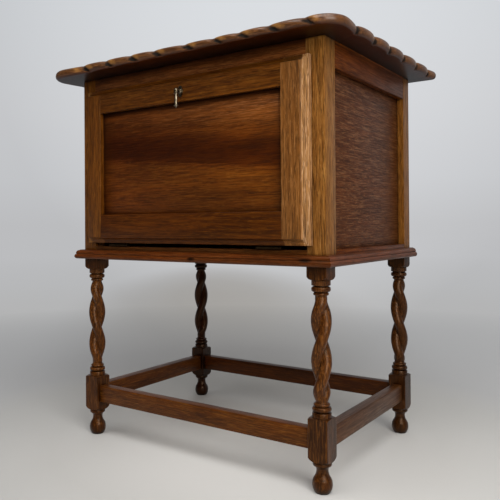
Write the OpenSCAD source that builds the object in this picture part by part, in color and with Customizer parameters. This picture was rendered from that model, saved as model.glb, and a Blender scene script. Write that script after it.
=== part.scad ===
// Side cabinet in oak: a panelled body with a fall front, a pie-crust top and four barley-twist legs.
// Millimetres, +Z up. The origin is on the floor, at the centre of the bounding box.
// The front faces -Y.

/* [Body] */
// Width of the body over its corner posts
body_w = 566; // [500:2:660]
// Depth of the body over its corner posts
body_d = 412; // [360:2:480]
// Height of the body from its underside to the top board
body_h = 380; // [330:2:450]
// Width of a corner post, seen from the front
post_w = 34; // [30:1:40]
// Depth of a front post, seen from the side
front_post_d = 40; // [36:1:46]
// Depth of a back post, seen from the side
back_post_d = 34; // [30:1:42]
// Thickness of the rails between the posts
rail_t = 22; // [20:1:26]
// Height of the front rail above the fall front
front_top_rail_h = 36; // [30:1:46]
// Height of the side and back rails under the top board
side_top_rail_h = 46; // [38:1:54]
// Height of the rails at the foot of the body
bottom_rail_h = 27; // [24:1:34]
// Depth that the side panels lie behind the outer faces of their frames
side_panel_set = 13; // [9:1:14]
// Thickness of the side panels and of the back panel
body_panel_t = 6; // [4:1:7]
// Thickness of the floor of the body
floor_t = 8; // [5:1:9]
// Height of the floor's underside above the underside of the body
floor_lift = 4; // [3:1:8]
// Depth of the grooves that hold the panels and the floor
groove_depth = 6; // [4:1:7]

/* [Joints] */
// Thickness of the tenons of the body rails
tenon_t = 7; // [5:1:8]
// Length of the tenons of the body rails
tenon_len = 14; // [10:1:16]
// Shoulder left above and below a tenon
tenon_shoulder = 4; // [3:1:5]
// Clearance between a tenon or panel and the sides of its mortise or groove
joint_fit = 0.1; // [0.05:0.05:0.2]

/* [Top board] */
// Thickness of the top board
top_t = 18; // [15:1:24]
// Reach of the top board past the sides of the body
top_side = 51; // [44:1:62]
// Reach of the top board past the front of the body
top_front = 62; // [54:1:80]
// Reach of the top board past the back of the body
top_back = 36; // [20:1:46]
// Number of scallops along the front between the corner scallops
front_scallops = 8; // [6:1:10]
// Number of scallops along each side between the corner scallops
side_scallops = 5; // [4:1:7]
// Rise of each scallop above its notches
scallop_rise = 7; // [4:0.5:9]
// Distance of the first front notch from the left end, where the carver began with a long scallop
corner_run_left = 105; // [80:1:120]
// Distance of the last front notch from the right end
corner_run_right = 63; // [56:1:80]
// Distance of the first side notch from the front edge
corner_run_side = 85; // [70:1:96]
// Distance of the last side notch from the back edge
corner_run_back = 55; // [40:1:66]
// Radius of the front corners of the top board
corner_r = 50; // [40:1:55]
// Radius of the back corners of the top board
back_corner_r = 10; // [6:1:30]
// Width of the rounding along the upper edge of the top board
edge_over_w = 10; // [6:0.5:13]
// Width of the rounding along the lower edge of the top board
edge_under_w = 7.5; // [4:0.5:10]
// Depth of the gouge cut at each notch, where it leaves the upper face
notch_cut = 5; // [2:0.5:7]

/* [Legs] */
// Height of a leg from the floor to the underside of the body
leg_h = 376; // [350:2:420]
// Width of the square blocks of a leg
leg_w = 36; // [34:1:40]
// Height of the bulb foot under its ring
foot_h = 45; // [38:1:54]
// Radius of the bulb foot
foot_r = 17; // [14:0.5:17.5]
// Height of the ring between foot and block
ring_h = 7; // [5:1:9]
// Height of the square block with both of its shoulders
block_h = 73; // [66:1:84]
// Height of the square cap with its shoulder
cap_h = 23; // [20:1:28]
// Height of the collar beside each block
collar_h = 9; // [7:0.5:11]
// Radius of the collars, rings and beads
collar_r = 16; // [14:0.5:17]
// Height of each bead
bead_h = 9; // [7:0.5:11]
// Height of the hollow between bead and twist
hollow_h = 7; // [5:0.5:9]
// Radius of the necks at both ends of the twist
neck_r = 10; // [9:0.5:11]
// Radius of each of the two strands of the twist
strand_r = 10; // [8.5:0.1:10]
// Distance of the strands' centres from the axis of the leg
strand_offset = 7.3; // [5:0.1:7.8]
// Height in which a strand goes once round the leg
twist_pitch = 134; // [100:2:180]
// Diameter of the pin on top of a leg
leg_pin_d = 12; // [10:1:13]
// Length of the pin on top of a leg
leg_pin_len = 26; // [18:1:32]

/* [Stretchers] */
// Width of the stretchers, seen from above
stretcher_w = 22; // [18:1:26]
// Height of the stretchers
stretcher_h = 34; // [28:1:38]
// Height of the stretchers' undersides above the floor
stretcher_z = 71; // [68:1:76]
// Width of the bevels along the stretchers' upper edges
stretcher_bevel = 1.5; // [0.5:0.5:3]
// Length of the stretchers' tenons
stretcher_tenon = 13; // [9:1:13]

/* [Base moulding] */
// Height of the base moulding
base_h = 19; // [16:1:23]
// Projection of the base moulding
base_out = 16; // [12:1:17]
// Height of its lower nosing
nosing_h = 10.5; // [9:0.5:12]
// Width of the step between nosing and ovolo
base_step = 2.5; // [1.5:0.5:4]

/* [Fall front] */
// Thickness of the fall front
door_t = 22; // [20:1:25]
// Overlap of the fall front on each post
door_lap_side = 10.5; // [8:0.5:14]
// Overlap of the fall front on the top rail
door_lap_top = 7.5; // [7:0.5:12]
// Width of the hollow moulding run round the edge of the fall front
cove_w = 11; // [8:0.5:12]
// Radius of that hollow
cove_r = 12; // [12:0.5:16]
// Width of the flat face of each stile
stile_face = 36; // [30:1:44]
// Height of the flat face of the upper rail
door_top_face = 39; // [32:1:48]
// Height of the flat face of the lower rail
door_bottom_face = 47; // [38:1:56]
// Thickness of the fall front's panel
door_panel_t = 7; // [5:1:8]
// Depth that the panel lies behind the face of its frame
door_panel_set = 11; // [8:1:12]
// Length of the tenons of the fall front's rails
door_tenon_len = 28; // [20:1:32]

/* [Hinges] */
// Gap between the fall front and the rail below it
hinge_gap = 7.5; // [7.2:0.1:9]
// Radius of a hinge knuckle
knuckle_r = 3.4; // [3:0.1:3.5]
// Radius of a hinge pin
hinge_pin_r = 1.5; // [1.2:0.1:1.8]
// Running clearance between pin and knuckle
pin_play = 0.05; // [0.02:0.01:0.1]
// Distance of the hinge line in front of the posts
hinge_out = 4; // [3.6:0.1:4.8]
// Length of a hinge
hinge_len = 50; // [40:2:64]
// Distance of the middle of each hinge from the end of the fall front
hinge_inset = 81.5; // [70:0.5:110]
// Thickness of the hinge leaves
leaf_t = 2; // [1.5:0.1:2]
// Length of each leaf away from the hinge line
leaf_reach = 18; // [15:1:20]

/* [Stays] */
// Radius of the quadrant stays about the hinge line
stay_r = 150; // [130:2:170]
// Width of the quadrant's bar
stay_bar_w = 9; // [7:0.5:11]
// Thickness of the quadrant's bar
stay_bar_t = 2.5; // [2:0.1:3]
// Gap between the quadrant and the post beside it
stay_side_gap = 4; // [3.5:0.5:6]
// Angle through which the fall front opens
open_angle = 90; // [80:1:90]
// Clearance between the quadrant and its guide
stay_play = 0.4; // [0.3:0.05:0.6]

/* [Catch] */
// Distance of the spring catch from the middle of the fall front
catch_x = 46; // [30:1:90]
// Radius of the head of the catch stud
stud_r = 4; // [3:0.5:5]
// Distance of the catch stud under the top rail
stud_drop = 8; // [7:0.5:10]
// Clearance between the stud and the jaws of its clip
jaw_play = 0.5; // [0.4:0.1:0.8]

/* [Pull] */
// Height of the pull's back plate
plate_h = 21; // [17:1:26]
// Width of the pull's back plate
plate_w = 12; // [9:1:15]
// Thickness of the pull's back plate
plate_t = 1.6; // [1.2:0.1:2.2]
// Distance of the drop's pivot in front of the fall front
pivot_out = 13.5; // [12.5:0.5:18]
// Length of the drop from its pivot to its tip
drop_len = 33; // [30:0.5:38]
// Radius of the head of the drop
drop_head_r = 3.7; // [3.5:0.1:4.4]
// Radius of the pull's spindle
spindle_r = 2; // [1.5:0.1:2.5]

/* [Hidden] */
$fn = 48;
leg_names = ["front_left", "front_right", "back_left", "back_right"];

// Colours of the woods and metals
oak = [0.46, 0.27, 0.12];
oak_light = [0.56, 0.34, 0.15];
oak_dark = [0.33, 0.17, 0.08];
oak_panel = [0.38, 0.19, 0.09];
pale_ply = [0.62, 0.46, 0.28];
brass = [0.60, 0.48, 0.26];
aged_brass = [0.55, 0.52, 0.44];
steel = [0.50, 0.50, 0.50];

// Places that several pieces share
half_w = body_w / 2;
half_d = body_d / 2;
body_z = leg_h;
top_z = body_z + body_h;
bottom_rail_z = body_z + bottom_rail_h;
body_shift = (top_front - top_back) / 2;
post_in_x = half_w - post_w;
front_post_y = -half_d + front_post_d;
back_post_y = half_d - back_post_d;
side_groove_x = half_w - side_panel_set - body_panel_t;
back_rail_t = rail_t;
back_groove_y = half_d - (back_rail_t + body_panel_t) / 2;
floor_z = body_z + floor_lift;
leg_x = half_w - leg_w / 2;
leg_y = half_d - leg_w / 2;

// Heights of the turned parts of a leg
ring_z = foot_h;
block_z = ring_z + ring_h;
collar_z = block_z + block_h;
groove_h = 2;
bead_z = collar_z + collar_h + groove_h;
twist_z = bead_z + bead_h + hollow_h;
cap_z = leg_h - cap_h;
upper_collar_z = cap_z - collar_h;
upper_bead_z = upper_collar_z - groove_h - bead_h;
twist_top_z = upper_bead_z - hollow_h;
lower_shoulder = 12;
upper_shoulder = 4;
cap_shoulder = 8;

// Hand and starting angle of each leg's twist, as each was cut
twist_hand = [-1, 1, 1, -1];
twist_start = [55, 130, 25, 45];

// The fall front
door_z0 = bottom_rail_z + hinge_gap;
door_z1 = top_z - front_top_rail_h + door_lap_top;
door_half_w = post_in_x + door_lap_side;
door_face_x = door_half_w - cove_w;
door_face_z0 = door_z0 + cove_w;
door_face_z1 = door_z1 - cove_w;
stile_in_x = door_face_x - stile_face;
door_rail_z0 = door_face_z0 + door_bottom_face;
door_rail_z1 = door_face_z1 - door_top_face;
door_back_y = -half_d;
door_face_y = door_back_y - door_t;
door_panel_y = door_face_y + door_panel_set;
door_mid_y = (door_panel_y + door_panel_y + door_panel_t) / 2;

// The hinge line
axis_y = -half_d - hinge_out;
axis_z = bottom_rail_z + hinge_gap / 2;
hinge_x = door_half_w - hinge_inset;
knuckles = 3;
knuckle_gap = 0.3;
leaf_gap = 0.4;

// The quadrant stays
stay_in = stay_r - stay_bar_w / 2;
stay_out = stay_r + stay_bar_w / 2;
stay_x = post_in_x - stay_side_gap - stay_bar_t;
stay_foot_h = 34;
stay_foot_w = 16;
stay_foot_t = 2;
guide_len = 4;
rivet_r = 1.8;
rivet_out = 1.6;
stop_gap = 0.35;
stay_start = 90 + asin((hinge_out + stay_foot_t / 2) / stay_r);
guide_angle = 90 + asin((hinge_out + stay_foot_t + stop_gap + guide_len / 2) / stay_r);
rivet_angle = guide_angle + open_angle + 2 * asin((guide_len / 2 + rivet_r + stop_gap) / 2 / stay_r);
tail_angle = rivet_angle + 1.2;

// Small fastenings
screw_r = 1.6;
screw_head_r = 3;
screw_head_h = 1.6;
screw_len = 10;
wood_screw_r = 2;
wood_screw_head_r = 3.8;
wood_screw_len = 24;
screw_fit = 0.05;

// The buttons that hold the top board
button_l = 30;
button_w = 26;
button_h = 14;
button_tongue = 5;
button_tongue_t = 6;
button_places = [
    [-150, -half_d + rail_t, 90], [150, -half_d + rail_t, 90],
    [-150, half_d - back_rail_t, -90], [150, half_d - back_rail_t, -90],
    [-half_w + rail_t, 0, 0], [half_w - rail_t, 0, 180]
];

// The pull hangs in the middle of the upper rail
pull_z = (door_rail_z1 + door_face_z1) / 2 - 1;
pivot_z = pull_z + 1;
pivot_y = door_face_y - pivot_out;
tongue_t = 2.4;
tongue_r = 2;
slot_play = 0.3;
pull_pin_r = 0.8;

// Points on an arc of an ellipse, from angle a0 to angle a1
function arc(cx, cy, rx, ry, a0, a1, n) =
    [for (i = [0:n]) [cx + rx * cos(a0 + (a1 - a0) * i / n), cy + ry * sin(a0 + (a1 - a0) * i / n)]];

// A cubic curve between two points with two handles
function curve(p0, p1, p2, p3, n) =
    [for (i = [0:n]) let (t = i / n, u = 1 - t)
        u * u * u * p0 + 3 * u * u * t * p1 + 3 * u * t * t * p2 + t * t * t * p3];

// Moves a piece from the body's own centre to the centre of the bounding box
module placed() {
    translate([0, body_shift, 0]) children();
}

// A box given by its two opposite corners
module block(a, b) {
    translate(a) cube(b - a);
}

// A countersunk screw that points along +Z from its head
module screw(r, head_r, head_h, len) {
    rotate_extrude($fn = 24) polygon([[0, 0], [head_r, 0], [r, head_h], [r, len - r], [0, len]]);
}

// The hole for such a screw
module screw_hole(r, head_r, head_h, len) {
    f = screw_fit;
    rotate_extrude($fn = 24)
        polygon([
            [0, -1], [head_r + f, -1], [head_r + f, 0],
            [r + f, head_h], [r + f, len + f], [0, len + f]
        ]);
}

// Top board with its scalloped edge

// Half of the width and the two ends of the board, about the body's centre
board_x = half_w + top_side;
board_front = -half_d - top_front;
board_back = half_d + top_back;

// Places of the points within one scallop, closer together at the notches
scallop_steps = [0, 0.05, 0.13, 0.3, 0.5, 0.7, 0.87, 0.95];

// How far the edge lies inside the scallops' crests, and how much of the gouge cut is felt there
function scallop_dip(t) = scallop_rise * pow(abs(2 * t - 1), 2.4);
function notch_felt(reach) = max(0, 1 - reach / 9);

// One point of the edge, a share t along a scallop of the given length: x, y, inward direction x and y,
// and the felt part of the notch
function edge_point(x, y, nx, ny, t, length) =
    [x + nx * scallop_dip(t), y + ny * scallop_dip(t), nx, ny, notch_felt(min(t, 1 - t) * length)];

// The front edge, from left to right
function front_edge() = let (run = (2 * board_x - corner_run_left - corner_run_right) / front_scallops)
    [for (i = [0:front_scallops - 1]) for (t = scallop_steps)
        edge_point(-board_x + corner_run_left + run * (i + t), board_front, 0, 1, t, run)];

// A corner made of two straight stretches and an arc, walked by its length
function corner_point(s, run, r) = let (a = run - r, quarter = PI * r / 2)
    s < a ? [board_x - run + s, 0, 0] : s < a + quarter
        ? let (w = 90 * (s - a) / quarter) [board_x - r + r * sin(w), r - r * cos(w), w]
        : [board_x, r + s - a - quarter, 90];
function corner_length(run_a, run_b, r) = run_a - r + PI * r / 2 + run_b - r;
function front_corner(run) = let (len = corner_length(run, corner_run_side, corner_r), n = 18)
    [for (i = [0:n - 1]) let (t = (1 - cos(180 * i / n)) / 2, p = corner_point(t * len, run, corner_r))
        edge_point(p[0], board_front + p[1], -sin(p[2]), cos(p[2]), t, len)];
function side_edge() =
    let (run = (board_back - corner_run_back - board_front - corner_run_side) / side_scallops)
    [for (i = [0:side_scallops - 1]) for (t = scallop_steps)
        edge_point(board_x, board_front + corner_run_side + run * (i + t), -1, 0, t, run)];
function back_corner() = let (n = 8, r = back_corner_r, a = corner_run_back - r, quarter = PI * r / 2)
    [for (i = [0:n]) let (s = (a + quarter) * i / n, t = 0.5 * i / n, w = s < a ? 0 : 90 * (s - a) / quarter)
        edge_point(board_x - r + r * cos(w), board_back - corner_run_back + min(s, a) + r * sin(w),
            -cos(w), -sin(w), t, 2 * (a + quarter))];
function flipped(list) = [for (i = [len(list) - 1:-1:0]) let (p = list[i]) [-p[0], p[1], -p[2], p[3], p[4]]];
function end_edge(run) = concat(front_corner(run), side_edge(), back_corner());
// The left end is a mirror image. It stops one point early, where the front edge begins
function left_edge() = let (edge = flipped(end_edge(corner_run_left))) [for (i = [0:len(edge) - 2]) edge[i]];

// Steps up the edge: inset, height, and the share of the gouge cut that shows at that height
edge_over_h = top_t * 0.54;
edge_under_h = top_t * 0.42;
edge_steps = concat(
    [for (a = [90, 58, 28, 0])
        [edge_under_w * (1 - cos(a)), edge_under_h * (1 - sin(a)), 0.2 + 0.25 * cos(a)]],
    [for (a = [0, 30, 60, 90])
        [edge_over_w * (1 - cos(a)), top_t - edge_over_h + edge_over_h * sin(a), 0.45 + 0.55 * sin(a)]]
);

module top_board() {
    rim = concat(front_edge(), end_edge(corner_run_right), left_edge());
    n = len(rim);
    rows = len(edge_steps);
    rings = [for (e = edge_steps) for (p = rim) let (inset = e[0] + e[2] * notch_cut * p[4])
        [p[0] + p[2] * inset, p[1] + p[3] * inset, top_z + e[1]]];
    under = rows * n;
    upper = under + 1;
    last = under - n;
    points = concat(rings, [[0, -body_shift, top_z], [0, -body_shift, top_z + top_t]]);
    walls = [for (k = [0:rows - 2]) for (i = [0:n - 1]) let (j = (i + 1) % n)
        each [[k * n + i, k * n + n + j, k * n + j], [k * n + i, k * n + n + i, k * n + n + j]]];
    placed() color(oak) difference() {
        polyhedron(
            points,
            concat(
                walls,
                [for (i = [0:n - 1]) [under, i, (i + 1) % n]],
                [for (i = [0:n - 1]) [upper, last + (i + 1) % n, last + i]]
            ),
            convexity = 6
        );
        button_screw_places() screw_hole(wood_screw_r, wood_screw_head_r, 3, wood_screw_len);
    }
}

// Buttons: small blocks whose tongues sit in the rails and hold the top board down
module button_screw_places() {
    for (p = button_places) {
        translate([p[0], p[1], top_z - button_h]) rotate(p[2]) translate([button_w * 0.6, 0, 0]) children();
    }
}

module top_buttons() {
    placed() color(oak_dark) for (p = button_places) {
        translate([p[0], p[1], top_z - button_h]) rotate(p[2]) difference() {
            union() {
                translate([0, -button_l / 2, 0]) cube([button_w, button_l, button_h]);
                translate([-button_tongue, -button_l / 2, 0])
                    cube([button_tongue + 1, button_l, button_tongue_t]);
            }
            translate([button_w * 0.6, 0, 0]) screw_hole(wood_screw_r, wood_screw_head_r, 3, wood_screw_len);
        }
    }
}

module button_screws() {
    placed() color(steel) button_screw_places() screw(wood_screw_r, wood_screw_head_r, 3, wood_screw_len);
}

// The mortise that takes a button's tongue, at one of the button places
module button_mortise(p) {
    f = joint_fit;
    translate([p[0], p[1], top_z - button_h]) rotate(p[2])
        translate([-button_tongue - 1, -button_l / 2 - 1, -f])
            cube([button_tongue + 2, button_l + 2, button_tongue_t + 2 * f]);
}

// Legs, turned between square blocks and cut with a double twist

// Outline of a bead of the given height
function bead_outline(z, h) = arc(collar_r - h * 0.22, z + h / 2, h * 0.25, h / 2, -90, 90, 8);

// Outline of a leg below its twist, from the floor up
function lower_outline() = concat(
    [[0, 0], [foot_r * 0.72, 0]],
    curve([foot_r * 0.72, 0.01], [foot_r * 0.95, foot_h * 0.1], [foot_r * 1.02, foot_h * 0.22],
        [foot_r, foot_h * 0.34], 5),
    curve([foot_r * 0.99, foot_h * 0.36], [foot_r * 0.96, foot_h * 0.6], [neck_r, foot_h * 0.58],
        [neck_r, foot_h * 0.86], 8),
    curve([neck_r + 0.2, foot_h * 0.88], [neck_r + 0.5, foot_h * 0.96], [collar_r - 3, foot_h * 0.97],
        [collar_r - 2, ring_z], 4),
    arc(collar_r - 1.6, ring_z + ring_h / 2, 1.6, ring_h / 2, -80, 80, 6),
    curve([collar_r + 0.2, block_z], [collar_r + 5, block_z + 1], [leg_w * 0.707, block_z + 4],
        [leg_w * 0.73, block_z + lower_shoulder], 6),
    curve([leg_w * 0.73, collar_z - upper_shoulder], [leg_w * 0.66, collar_z - 1], [collar_r + 4, collar_z],
        [collar_r, collar_z], 5),
    [[collar_r, collar_z + collar_h - 0.6], [collar_r - 0.6, collar_z + collar_h],
        [collar_r - 2, collar_z + collar_h + 0.2], [collar_r - 2, bead_z - 0.2]],
    bead_outline(bead_z, bead_h),
    curve([collar_r - 2.4, bead_z + bead_h + 0.3], [collar_r - 3, bead_z + bead_h + 1.5],
        [neck_r + 0.4, twist_z - hollow_h * 0.7], [neck_r, twist_z], 6),
    [[neck_r, twist_z + 2], [0, twist_z + 2]]
);

// Outline of a leg above its twist, up to the underside of the body
function upper_outline() = concat(
    [[0, twist_top_z - 2], [neck_r, twist_top_z - 2]],
    curve([neck_r, twist_top_z], [neck_r + 0.4, upper_bead_z - hollow_h * 0.3],
        [collar_r - 3, upper_bead_z - 1.5], [collar_r - 2.4, upper_bead_z - 0.3], 6),
    bead_outline(upper_bead_z, bead_h),
    [[collar_r - 2, upper_bead_z + bead_h + 0.2], [collar_r - 2, upper_collar_z - 0.2],
        [collar_r - 0.6, upper_collar_z], [collar_r, upper_collar_z + 0.6]],
    curve([collar_r, cap_z], [collar_r + 5, cap_z + 0.5], [leg_w * 0.64, cap_z + 3],
        [leg_w * 0.73, cap_z + cap_shoulder], 6),
    [[leg_w * 0.73, leg_h], [0, leg_h]]
);

// Distance of the twist's surface from its axis, at angle a from the strands' line
function strand_surface(a, c) = c * abs(cos(a)) + sqrt(strand_r * strand_r - pow(c * sin(a), 2));

// The strands part from the round neck and come together again within this height
strand_run = 26;
function strand_parting(z) = let (d = min(z - twist_z, twist_top_z - z) / strand_run)
    strand_offset * (d <= 0 ? 0 : d >= 1 ? 1 : sin(90 * d));

module twist(hand, start) {
    sides = 20;
    rows = 40;
    z0 = twist_z - 1;
    z1 = twist_top_z + 1;
    points = [for (k = [0:rows]) let (z = z0 + (z1 - z0) * k / rows, c = strand_parting(z),
            turn = start + hand * (z - twist_top_z) * 360 / twist_pitch)
        for (i = [0:sides - 1]) let (a = 360 * i / sides, r = strand_surface(a, c))
            [r * cos(a + turn), r * sin(a + turn), z]];
    walls = [for (k = [0:rows - 1]) for (i = [0:sides - 1])
        let (j = (i + 1) % sides, a = k * sides + i, b = k * sides + j, c = a + sides, d = b + sides)
        each (hand > 0 ? [[a, c, b], [b, c, d]] : [[a, d, b], [a, c, d]])];
    polyhedron(
        points,
        concat([[for (i = [0:sides - 1]) i]], walls, [[for (i = [sides - 1:-1:0]) rows * sides + i]]),
        convexity = 6
    );
}

// A leg at its corner: sx and sy are the signs of that corner
module leg(sx, sy, hand, start) {
    h = leg_w / 2;
    f = joint_fit;
    mortise_z = stretcher_z + tenon_shoulder;
    mortise_h = stretcher_h - 2 * tenon_shoulder;
    placed() color(oak) translate([sx * leg_x, sy * leg_y, 0]) {
        difference() {
            intersection() {
                rotate_extrude() polygon(lower_outline());
                block([-h, -h, 0], [h, h, twist_z + 2]);
            }
            translate([-sx * (h - stretcher_tenon / 2), 0, mortise_z + mortise_h / 2])
                cube([stretcher_tenon + 2 * f, tenon_t + 2 * f, mortise_h + 2 * f], center = true);
            translate([0, -sy * (h - stretcher_tenon / 2), mortise_z + mortise_h / 2])
                cube([tenon_t + 2 * f, stretcher_tenon + 2 * f, mortise_h + 2 * f], center = true);
        }
        twist(hand, start);
        intersection() {
            rotate_extrude() polygon(upper_outline());
            block([-h, -h, twist_top_z - 2], [h, h, leg_h]);
        }
        translate([0, 0, leg_h - 1]) cylinder(r = leg_pin_d / 2, h = leg_pin_len + 1);
    }
}

module leg_front_left() { leg(-1, -1, twist_hand[0], twist_start[0]); }
module leg_front_right() { leg(1, -1, twist_hand[1], twist_start[1]); }
module leg_back_left() { leg(-1, 1, twist_hand[2], twist_start[2]); }
module leg_back_right() { leg(1, 1, twist_hand[3], twist_start[3]); }

// Stretchers, each tenoned into two blocks

// A stretcher that runs along X, centred on its own middle
module stretcher(run) {
    w = stretcher_w / 2;
    b = stretcher_bevel;
    color(oak_light) {
        translate([-run / 2, 0, stretcher_z]) rotate([90, 0, 90]) linear_extrude(run)
            polygon([[-w, 0], [w, 0], [w, stretcher_h - b], [w - b, stretcher_h], [b - w, stretcher_h],
                [-w, stretcher_h - b]]);
        translate([0, 0, stretcher_z + stretcher_h / 2])
            cube([run + 2 * stretcher_tenon, tenon_t, stretcher_h - 2 * tenon_shoulder], center = true);
    }
}

module stretcher_front() { placed() translate([0, -leg_y, 0]) stretcher(2 * leg_x - leg_w); }
module stretcher_back() { placed() translate([0, leg_y, 0]) stretcher(2 * leg_x - leg_w); }
module stretcher_left() { placed() translate([-leg_x, 0, 0]) rotate(90) stretcher(2 * leg_y - leg_w); }
module stretcher_right() { placed() translate([leg_x, 0, 0]) rotate(90) stretcher(2 * leg_y - leg_w); }

// Frame of the body

// Heights of the tenons of the four kinds of rail, as low and high ends
bottom_tenon = [body_z + tenon_shoulder, bottom_rail_z - groove_depth - tenon_shoulder];
side_top_tenon = [top_z - side_top_rail_h + groove_depth + tenon_shoulder, top_z - tenon_shoulder];
front_top_tenon = [top_z - front_top_rail_h + tenon_shoulder, top_z - tenon_shoulder];

// The tenon of a rail that runs along X. mid is the tenon's middle in Y, grow opens it into a mortise
module tenon_x(from, to, mid, heights, grow) {
    block([from, mid - tenon_t / 2 - grow, heights[0] - grow],
        [to, mid + tenon_t / 2 + grow, heights[1] + grow]);
}

// The same for a rail that runs along Y
module tenon_y(from, to, mid, heights, grow) {
    block([mid - tenon_t / 2 - grow, from, heights[0] - grow],
        [mid + tenon_t / 2 + grow, to, heights[1] + grow]);
}

front_tenon_y = -half_d + tenon_t / 2 + tenon_shoulder;
back_tenon_y = half_d - tenon_t / 2 - tenon_shoulder;
side_tenon_mid = half_w - tenon_t / 2 - tenon_shoulder;

// The right front post. The left one is its mirror image
module front_post() {
    f = joint_fit;
    color(oak_light) difference() {
        block([post_in_x, -half_d, body_z], [half_w, front_post_y, top_z]);
        block([side_groove_x - f, front_post_y - groove_depth - f, bottom_rail_z - groove_depth - f],
            [side_groove_x + body_panel_t + f, front_post_y + 1,
                top_z - side_top_rail_h + groove_depth + f]);
        tenon_y(front_post_y - tenon_len - f, front_post_y + 1, side_tenon_mid, bottom_tenon, f);
        tenon_y(front_post_y - tenon_len - f, front_post_y + 1, side_tenon_mid, side_top_tenon, f);
        tenon_x(post_in_x - 1, post_in_x + tenon_len + f, front_tenon_y, bottom_tenon, f);
        tenon_x(post_in_x - 1, post_in_x + tenon_len + f, front_tenon_y, front_top_tenon, f);
        leg_pin_hole(leg_x, -leg_y);
        stay_guide_screws() screw_hole(screw_r, screw_head_r, screw_head_h, screw_len);
    }
}

// The right back post. The left one is its mirror image
module back_post() {
    f = joint_fit;
    color(oak_light) difference() {
        block([post_in_x, back_post_y, body_z], [half_w, half_d, top_z]);
        block([side_groove_x - f, back_post_y - 1, bottom_rail_z - groove_depth - f],
            [side_groove_x + body_panel_t + f, back_post_y + groove_depth + f,
                top_z - side_top_rail_h + groove_depth + f]);
        block([post_in_x - 1, back_groove_y - f, bottom_rail_z - groove_depth - f],
            [post_in_x + groove_depth + f, back_groove_y + body_panel_t + f,
                top_z - side_top_rail_h + groove_depth + f]);
        tenon_y(back_post_y - 1, back_post_y + tenon_len + f, side_tenon_mid, bottom_tenon, f);
        tenon_y(back_post_y - 1, back_post_y + tenon_len + f, side_tenon_mid, side_top_tenon, f);
        tenon_x(post_in_x - 1, post_in_x + tenon_len + f, back_tenon_y, bottom_tenon, f);
        tenon_x(post_in_x - 1, post_in_x + tenon_len + f, back_tenon_y, side_top_tenon, f);
        leg_pin_hole(leg_x, leg_y);
    }
}

// The hole for the pin of a leg
module leg_pin_hole(x, y) {
    translate([x, y, body_z - 1]) cylinder(r = leg_pin_d / 2 + joint_fit / 2, h = leg_pin_len + 2);
}

module post_front_left() { placed() mirror([1, 0, 0]) front_post(); }
module post_front_right() { placed() front_post(); }
module post_back_left() { placed() mirror([1, 0, 0]) back_post(); }
module post_back_right() { placed() back_post(); }

// The groove that the floor lies in, cut along the inner faces of the bottom rails
module floor_groove() {
    f = joint_fit;
    x = half_w - rail_t + groove_depth + f;
    block([-x, -half_d + rail_t - groove_depth - f, floor_z - f],
        [x, half_d - back_rail_t + groove_depth + f, floor_z + floor_t + f]);
}

module front_top_rail() {
    z0 = top_z - front_top_rail_h;
    placed() color(oak) difference() {
        union() {
            block([-post_in_x, -half_d, z0], [post_in_x, -half_d + rail_t, top_z]);
            tenon_x(-post_in_x - tenon_len, post_in_x + tenon_len, front_tenon_y, front_top_tenon, 0);
        }
        button_mortise(button_places[0]);
        button_mortise(button_places[1]);
        catch_screw_places() screw_hole(screw_r, screw_head_r, screw_head_h, screw_len);
    }
}

module front_bottom_rail() {
    placed() color(oak) difference() {
        union() {
            block([-post_in_x, -half_d, body_z], [post_in_x, -half_d + rail_t, bottom_rail_z]);
            tenon_x(-post_in_x - tenon_len, post_in_x + tenon_len, front_tenon_y, bottom_tenon, 0);
        }
        floor_groove();
        for (s = [-1, 1]) fixed_leaf_screws(s) screw_hole(screw_r, screw_head_r, screw_head_h, screw_len);
    }
}

module back_top_rail() {
    z0 = top_z - side_top_rail_h;
    f = joint_fit;
    placed() color(oak) difference() {
        union() {
            block([-post_in_x, half_d - back_rail_t, z0], [post_in_x, half_d, top_z]);
            tenon_x(-post_in_x - tenon_len, post_in_x + tenon_len, back_tenon_y, side_top_tenon, 0);
        }
        block([-post_in_x - 20, back_groove_y - f, z0 - 1],
            [post_in_x + 20, back_groove_y + body_panel_t + f, z0 + groove_depth + f]);
        button_mortise(button_places[2]);
        button_mortise(button_places[3]);
    }
}

module back_bottom_rail() {
    f = joint_fit;
    placed() color(oak) difference() {
        union() {
            block([-post_in_x, half_d - back_rail_t, body_z], [post_in_x, half_d, bottom_rail_z]);
            tenon_x(-post_in_x - tenon_len, post_in_x + tenon_len, back_tenon_y, bottom_tenon, 0);
        }
        block([-post_in_x - 20, back_groove_y - f, bottom_rail_z - groove_depth - f],
            [post_in_x + 20, back_groove_y + body_panel_t + f, bottom_rail_z + 1]);
        floor_groove();
    }
}

// The right side's rails. The left ones are their mirror images
module side_top_rail() {
    z0 = top_z - side_top_rail_h;
    f = joint_fit;
    color(oak) difference() {
        union() {
            block([half_w - rail_t, front_post_y, z0], [half_w, back_post_y, top_z]);
            tenon_y(front_post_y - tenon_len, back_post_y + tenon_len, side_tenon_mid, side_top_tenon, 0);
        }
        block([side_groove_x - f, front_post_y - 20, z0 - 1],
            [side_groove_x + body_panel_t + f, back_post_y + 20, z0 + groove_depth + f]);
        button_mortise(button_places[5]);
    }
}

module side_bottom_rail() {
    f = joint_fit;
    color(oak) difference() {
        union() {
            block([half_w - rail_t, front_post_y, body_z], [half_w, back_post_y, bottom_rail_z]);
            tenon_y(front_post_y - tenon_len, back_post_y + tenon_len, side_tenon_mid, bottom_tenon, 0);
        }
        block([side_groove_x - f, front_post_y - 20, bottom_rail_z - groove_depth - f],
            [side_groove_x + body_panel_t + f, back_post_y + 20, bottom_rail_z + 1]);
        floor_groove();
    }
}

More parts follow.
